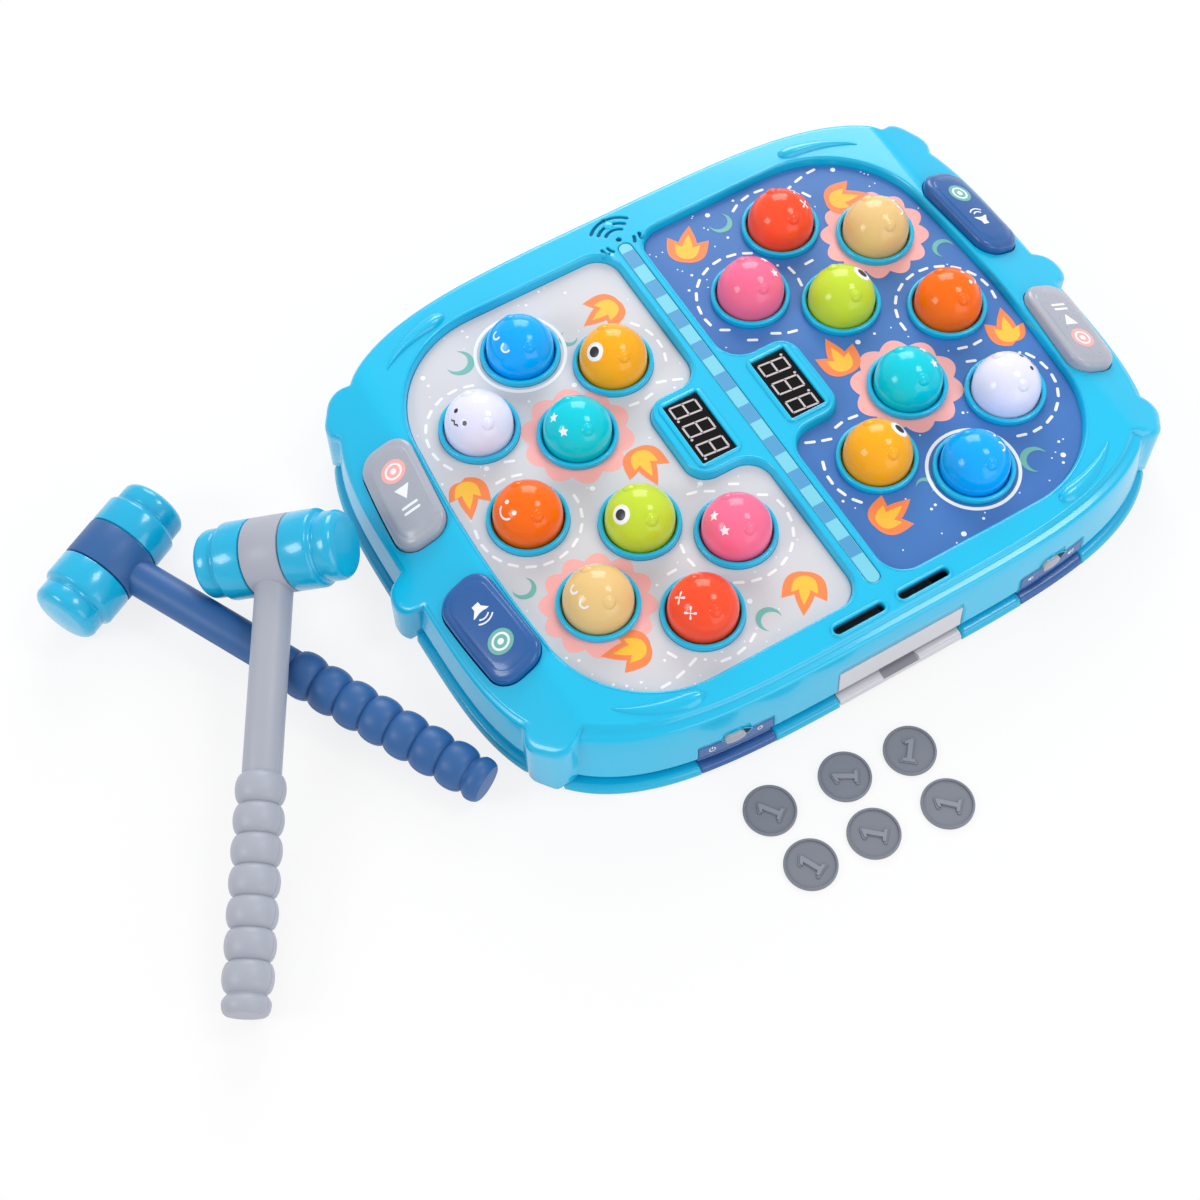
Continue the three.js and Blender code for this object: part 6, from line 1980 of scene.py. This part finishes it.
@dataclass
class Hammer:
    """A hammer: a turned handle with a gripping row of beads, a head and two soft caps."""

    name: str
    centre: tuple[float, float, float]
    yaw: float
    pitch: float
    roll: float
    handle: Finish
    palette: Palette
    radius: float = 19.9
    band: float = 10.5
    shaft: float = 9.6
    grip_start: float = 114.0
    beads: int = 7
    grip_end: float = 219.0
    sides: int = 64
    # The mould seam's section: how far out of the handle, and to which side
    seam_section: Sequence[tuple[float, float]] = ((-0.3, 0.24), (0.13, 0.14), (0.13, -0.14), (-0.3, -0.24))

    @property
    def place(self) -> Matrix:
        """The head's place and turn, in millimetres."""
        turn = (Matrix.Rotation(math.radians(self.yaw), 4, "Z")
                @ Matrix.Rotation(math.radians(self.pitch), 4, "X")
                @ Matrix.Rotation(math.radians(self.roll), 4, "Y"))
        return Matrix.Translation(self.centre) @ turn

    def grip(self) -> list[tuple[float, float]]:
        """The handle's radius and distance from the head, from inside the head to its tip."""
        rows = [(0.0, 8.0), (self.shaft, 8.0), (self.shaft, self.radius - 1.0), (self.shaft, 60.0),
                (self.shaft, self.grip_start - 1.2)]
        pitch = (self.grip_end - self.grip_start) / self.beads
        for bead in range(self.beads):
            start = self.grip_start + bead * pitch
            for t in np.linspace(0.0, 1.0, 13)[(0 if bead == 0 else 1):]:
                swell = math.sqrt(max(0.0, 1 - (2 * t - 1) ** 2 * 0.97))
                rows.append((9.25 + 3.05 * (swell - 0.17) / 0.83, start + t * pitch))
        rows += [(9.4, 219.7), (10.5, 220.9), (11.45, 222.4), (11.65, 224.0), (11.35, 226.3), (10.5, 228.1),
                 (9.5, 228.9), (8.2, 229.05), (0.0, 229.05)]
        return rows

    def cap(self) -> list[tuple[float, float]]:
        """A soft cap's radius and distance from the head's middle."""
        rows = [(0.0, self.band + 0.3), (self.radius - 1.6, self.band + 0.3),
                (self.radius - 1.5, self.band + 0.7), (self.radius - 0.8, self.band + 0.75),
                (self.radius - 0.2, self.band + 0.95), (self.radius, self.band + 1.45), (self.radius, 24.6),
                (self.radius - 0.15, 25.5), (self.radius - 0.65, 26.2), (self.radius - 1.5, 26.65),
                (17.65, 27.1), (17.3, 27.6), (17.35, 28.6), (17.55, 29.0), (17.3, 29.3), (17.55, 29.7),
                (17.6, 34.8)]
        rows += [(12.0 + 5.6 * math.cos(a), 34.8 + 4.7 * math.sin(a))
                 for a in np.linspace(0.15, math.pi / 2, 8)]
        rows += [(8.0, 40.0), (4.0, 40.4), (0.0, 40.5)]
        return rows

    def band_rows(self) -> list[tuple[float, float]]:
        """The head's middle band."""
        edge, half = self.radius, self.band
        return [(0.0, -half), (edge - 0.9, -half), (edge - 0.25, -half + 0.2), (edge, -half + 0.75),
                (edge, half - 0.75), (edge - 0.25, half - 0.2), (edge - 0.9, half), (0.0, half)]

    def seam(self, form: Form, toward: Matrix) -> None:
        """Adds the fine mould seams along both sides of the handle."""
        rows = np.array([row for row in self.grip() if 19.0 < row[1] < 228.0])
        for sign in (1, -1):
            line = [[(sign * (radius + out), half, distance, 1) for out, half in self.seam_section]
                    for radius, distance in rows]
            points = np.array(line) @ np.array(toward).T
            base = points[:, :, :3]
            form.strip(base)
            form.add(base[0], [range(4)])
            form.add(base[-1], [range(3, -1, -1)])

    def build(self) -> None:
        """Builds the handle and both caps."""
        down = self.place @ Matrix.Rotation(math.radians(90), 4, "X")
        form = Form()
        form.lathe(self.grip(), self.sides, down)
        form.lathe(self.band_rows(), self.sides + 16, self.place @ Matrix.Rotation(math.radians(90), 4, "Y"))
        self.seam(form, down)
        piece = form.object(f"{self.name}_grip", [self.handle], sharp=32)
        slot = "navy_plastic" if self.name.startswith("navy") else "grey_plastic"
        dress(piece, self.name, slot, f"{self.name}_handle")
        for word, sign in (("left", -1), ("right", 1)):
            cap = Form()
            cap.lathe(self.cap(), self.sides + 16,
                      self.place @ Matrix.Rotation(math.radians(sign * 90), 4, "Y"))
            piece = cap.object(f"{self.name}_{word}_pad", [self.palette.cap], sharp=36)
            dress(piece, self.name, "cap_blue", f"{self.name}_{word}_cap")


# What stays from the CAD model


def finish_inner(palette: Palette) -> None:
    """Gives each node that keeps its CAD shape its material."""
    finishes = {
        "circuit_board": palette.board, "speaker": palette.dark, "coin_sensor": palette.dark,
        "left_switch_mat": palette.mat, "right_switch_mat": palette.mat, "battery_cover": palette.base,
        "battery_cover_screw": palette.steel,
    }
    finishes.update({f"battery_{i}": palette.sleeve for i in (1, 2, 3)})
    finishes.update({f"case_screw_{i}": palette.steel for i in (1, 2, 3, 4)})
    for name, finish in finishes.items():
        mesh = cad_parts[name].data
        mesh.materials.clear()
        mesh.materials.append(finish)
        LOG.info("%s keeps its shape, in %s", name, finish.name)


# Studio


@dataclass
class Studio:
    """The floor, the lamps, the world and the camera."""

    position: tuple[float, float, float] = (-0.373816, -0.488879, 0.958661)
    right: tuple[float, float, float] = (0.85913, -0.51174, -0.00313)
    up: tuple[float, float, float] = (0.45038, 0.75319, 0.47943)
    focal_px: float = 2127.78
    frame_px: float = 1200.0
    sensor_mm: float = 36.0
    floor_half: float = 30.0
    floor_z: float = -0.0002
    aim: tuple[float, float, float] = (-0.05, 0.0, 0.0)
    glow: float = 0.8
    ambient: float = 0.64

    @staticmethod
    def shown(tree: bpy.types.NodeTree) -> bpy.types.NodeSocket:
        """Adds nodes that give 1 for what the camera, a gloss or a glass shows, and 0 for light."""
        ray = add_node(tree, "ShaderNodeLightPath")
        seen = add_node(tree, "ShaderNodeMath", {"operation": "MAXIMUM"},
                        links={0: ray.outputs["Is Camera Ray"], 1: ray.outputs["Is Glossy Ray"]})
        either = add_node(tree, "ShaderNodeMath", {"operation": "MAXIMUM"},
                          links={0: seen.outputs[0], 1: ray.outputs["Is Transmission Ray"]})
        return either.outputs[0]

    def floor(self) -> None:
        """A white floor that keeps the object's shadow."""
        mesh = bpy.data.meshes.new("floor")
        s, z = self.floor_half, self.floor_z
        mesh.from_pydata([(-s, -s, z), (s, -s, z), (s, s, z), (-s, s, z)], [], [(0, 1, 2, 3)])
        plane = linked("floor", mesh)
        paper, tree = new_material("studio_white_paper")
        share = add_node(tree, "ShaderNodeMath", {"operation": "MULTIPLY"}, {1: self.glow},
                         {0: self.shown(tree)})
        matt = add_node(tree, "ShaderNodeBsdfDiffuse", values={"Color": (0.86, 0.86, 0.86, 1.0)})
        white = add_node(tree, "ShaderNodeEmission", values={"Color": (1.0, 1.0, 1.0, 1.0), "Strength": 1.0})
        both = add_node(tree, "ShaderNodeMixShader", links={0: share.outputs[0], 1: matt.outputs[0],
                                                            2: white.outputs[0]})
        add_node(tree, "ShaderNodeOutputMaterial", links={"Surface": both.outputs[0]})
        mesh.materials.append(paper)

    def world(self) -> None:
        """An even pale surround, which fills the shadows softly."""
        world = bpy.data.worlds.new("studio")
        bpy.context.scene.world = world
        world.use_nodes = True
        tree = world.node_tree
        tree.nodes.clear()
        back = add_node(tree, "ShaderNodeBackground",
                        values={"Color": (1.0, 1.0, 1.0, 1.0), "Strength": self.ambient})
        add_node(tree, "ShaderNodeOutputWorld", links={"Surface": back.outputs[0]})

    def lamp(self, name: str, place: Sequence[float], size: float, watts: float) -> None:
        """Adds one soft square lamp, turned to the game."""
        light = bpy.data.lights.new(name, "AREA")
        light.size = size
        light.energy = watts
        lamp = linked(name, light)
        lamp.location = place
        lamp.rotation_euler = (Vector(place) - Vector(self.aim)).to_track_quat("Z", "Y").to_euler()

    def camera(self) -> None:
        """The camera at the photograph's own place and angle."""
        lens = bpy.data.cameras.new("camera")
        lens.sensor_fit = "HORIZONTAL"
        lens.sensor_width = self.sensor_mm
        lens.lens = self.focal_px * self.sensor_mm / self.frame_px
        eye = linked("camera", lens)
        right, up = Vector(self.right).normalized(), Vector(self.up).normalized()
        back = right.cross(up).normalized()
        turn = Matrix((right, up, back)).transposed().to_4x4()
        eye.matrix_world = Matrix.Translation(self.position) @ turn
        bpy.context.scene.camera = eye

    def build(self) -> None:
        """Builds the studio."""
        self.floor()
        self.world()
        self.lamp("back_softbox", (0.75, 1.35, 0.95), 1.0, 16.0)
        self.lamp("front_fill", (0.35, -1.75, 0.7), 1.3, 9.0)
        self.lamp("left_window", (-1.6, 0.25, 1.05), 0.6, 8.0)
        self.lamp("overhead", (0.9, -0.3, 1.7), 0.5, 7.0)
        self.camera()
        bpy.context.scene.view_settings.view_transform = "Standard"


# Each coin's turn, in radians, as it lies on the table
COIN_TURNS = {1: 0.62, 2: 1.03, 3: -0.71, 4: 0.45, 5: 0.83, 6: 0.79}


def write_sizes() -> None:
    """Updates the view layer once all pieces are built."""
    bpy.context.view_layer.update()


def main() -> None:
    """Builds the whole game, piece by piece."""
    palette = Palette()
    Studio().build()
    TopCasing(palette).build()
    BottomCasing(palette).build()
    DividerStrip(palette).build()
    domes = {name: palette.mole(name, *codes) for name, codes in MOLE_FINISHES.items()}
    for side in Side:
        Film(side, palette).build()
        ScoreDisplay(side, palette).build()
        SwitchPlate(side, palette).build()
        for icon in Icon:
            PlayButton(side, icon, palette).build()
        for name, finish in domes.items():
            Mole(side, name, palette, finish).build()
    Drawer(palette).build()
    for number, turn in COIN_TURNS.items():
        Coin(number, turn, palette).build()
    Hammer("navy_hammer", (-315.8, 100.9, 19.9), 27.4, 1.9774, 0.0, palette.grip_navy, palette).build()
    Hammer("grey_hammer", (-244.7, 47.8, 41.5588), -31.2, 7.428, -21.3, palette.grip_grey, palette).build()
    finish_inner(palette)
    write_sizes()


if __name__ == "__main__":
    logging.basicConfig(level=logging.INFO, format="%(message)s")
    main()
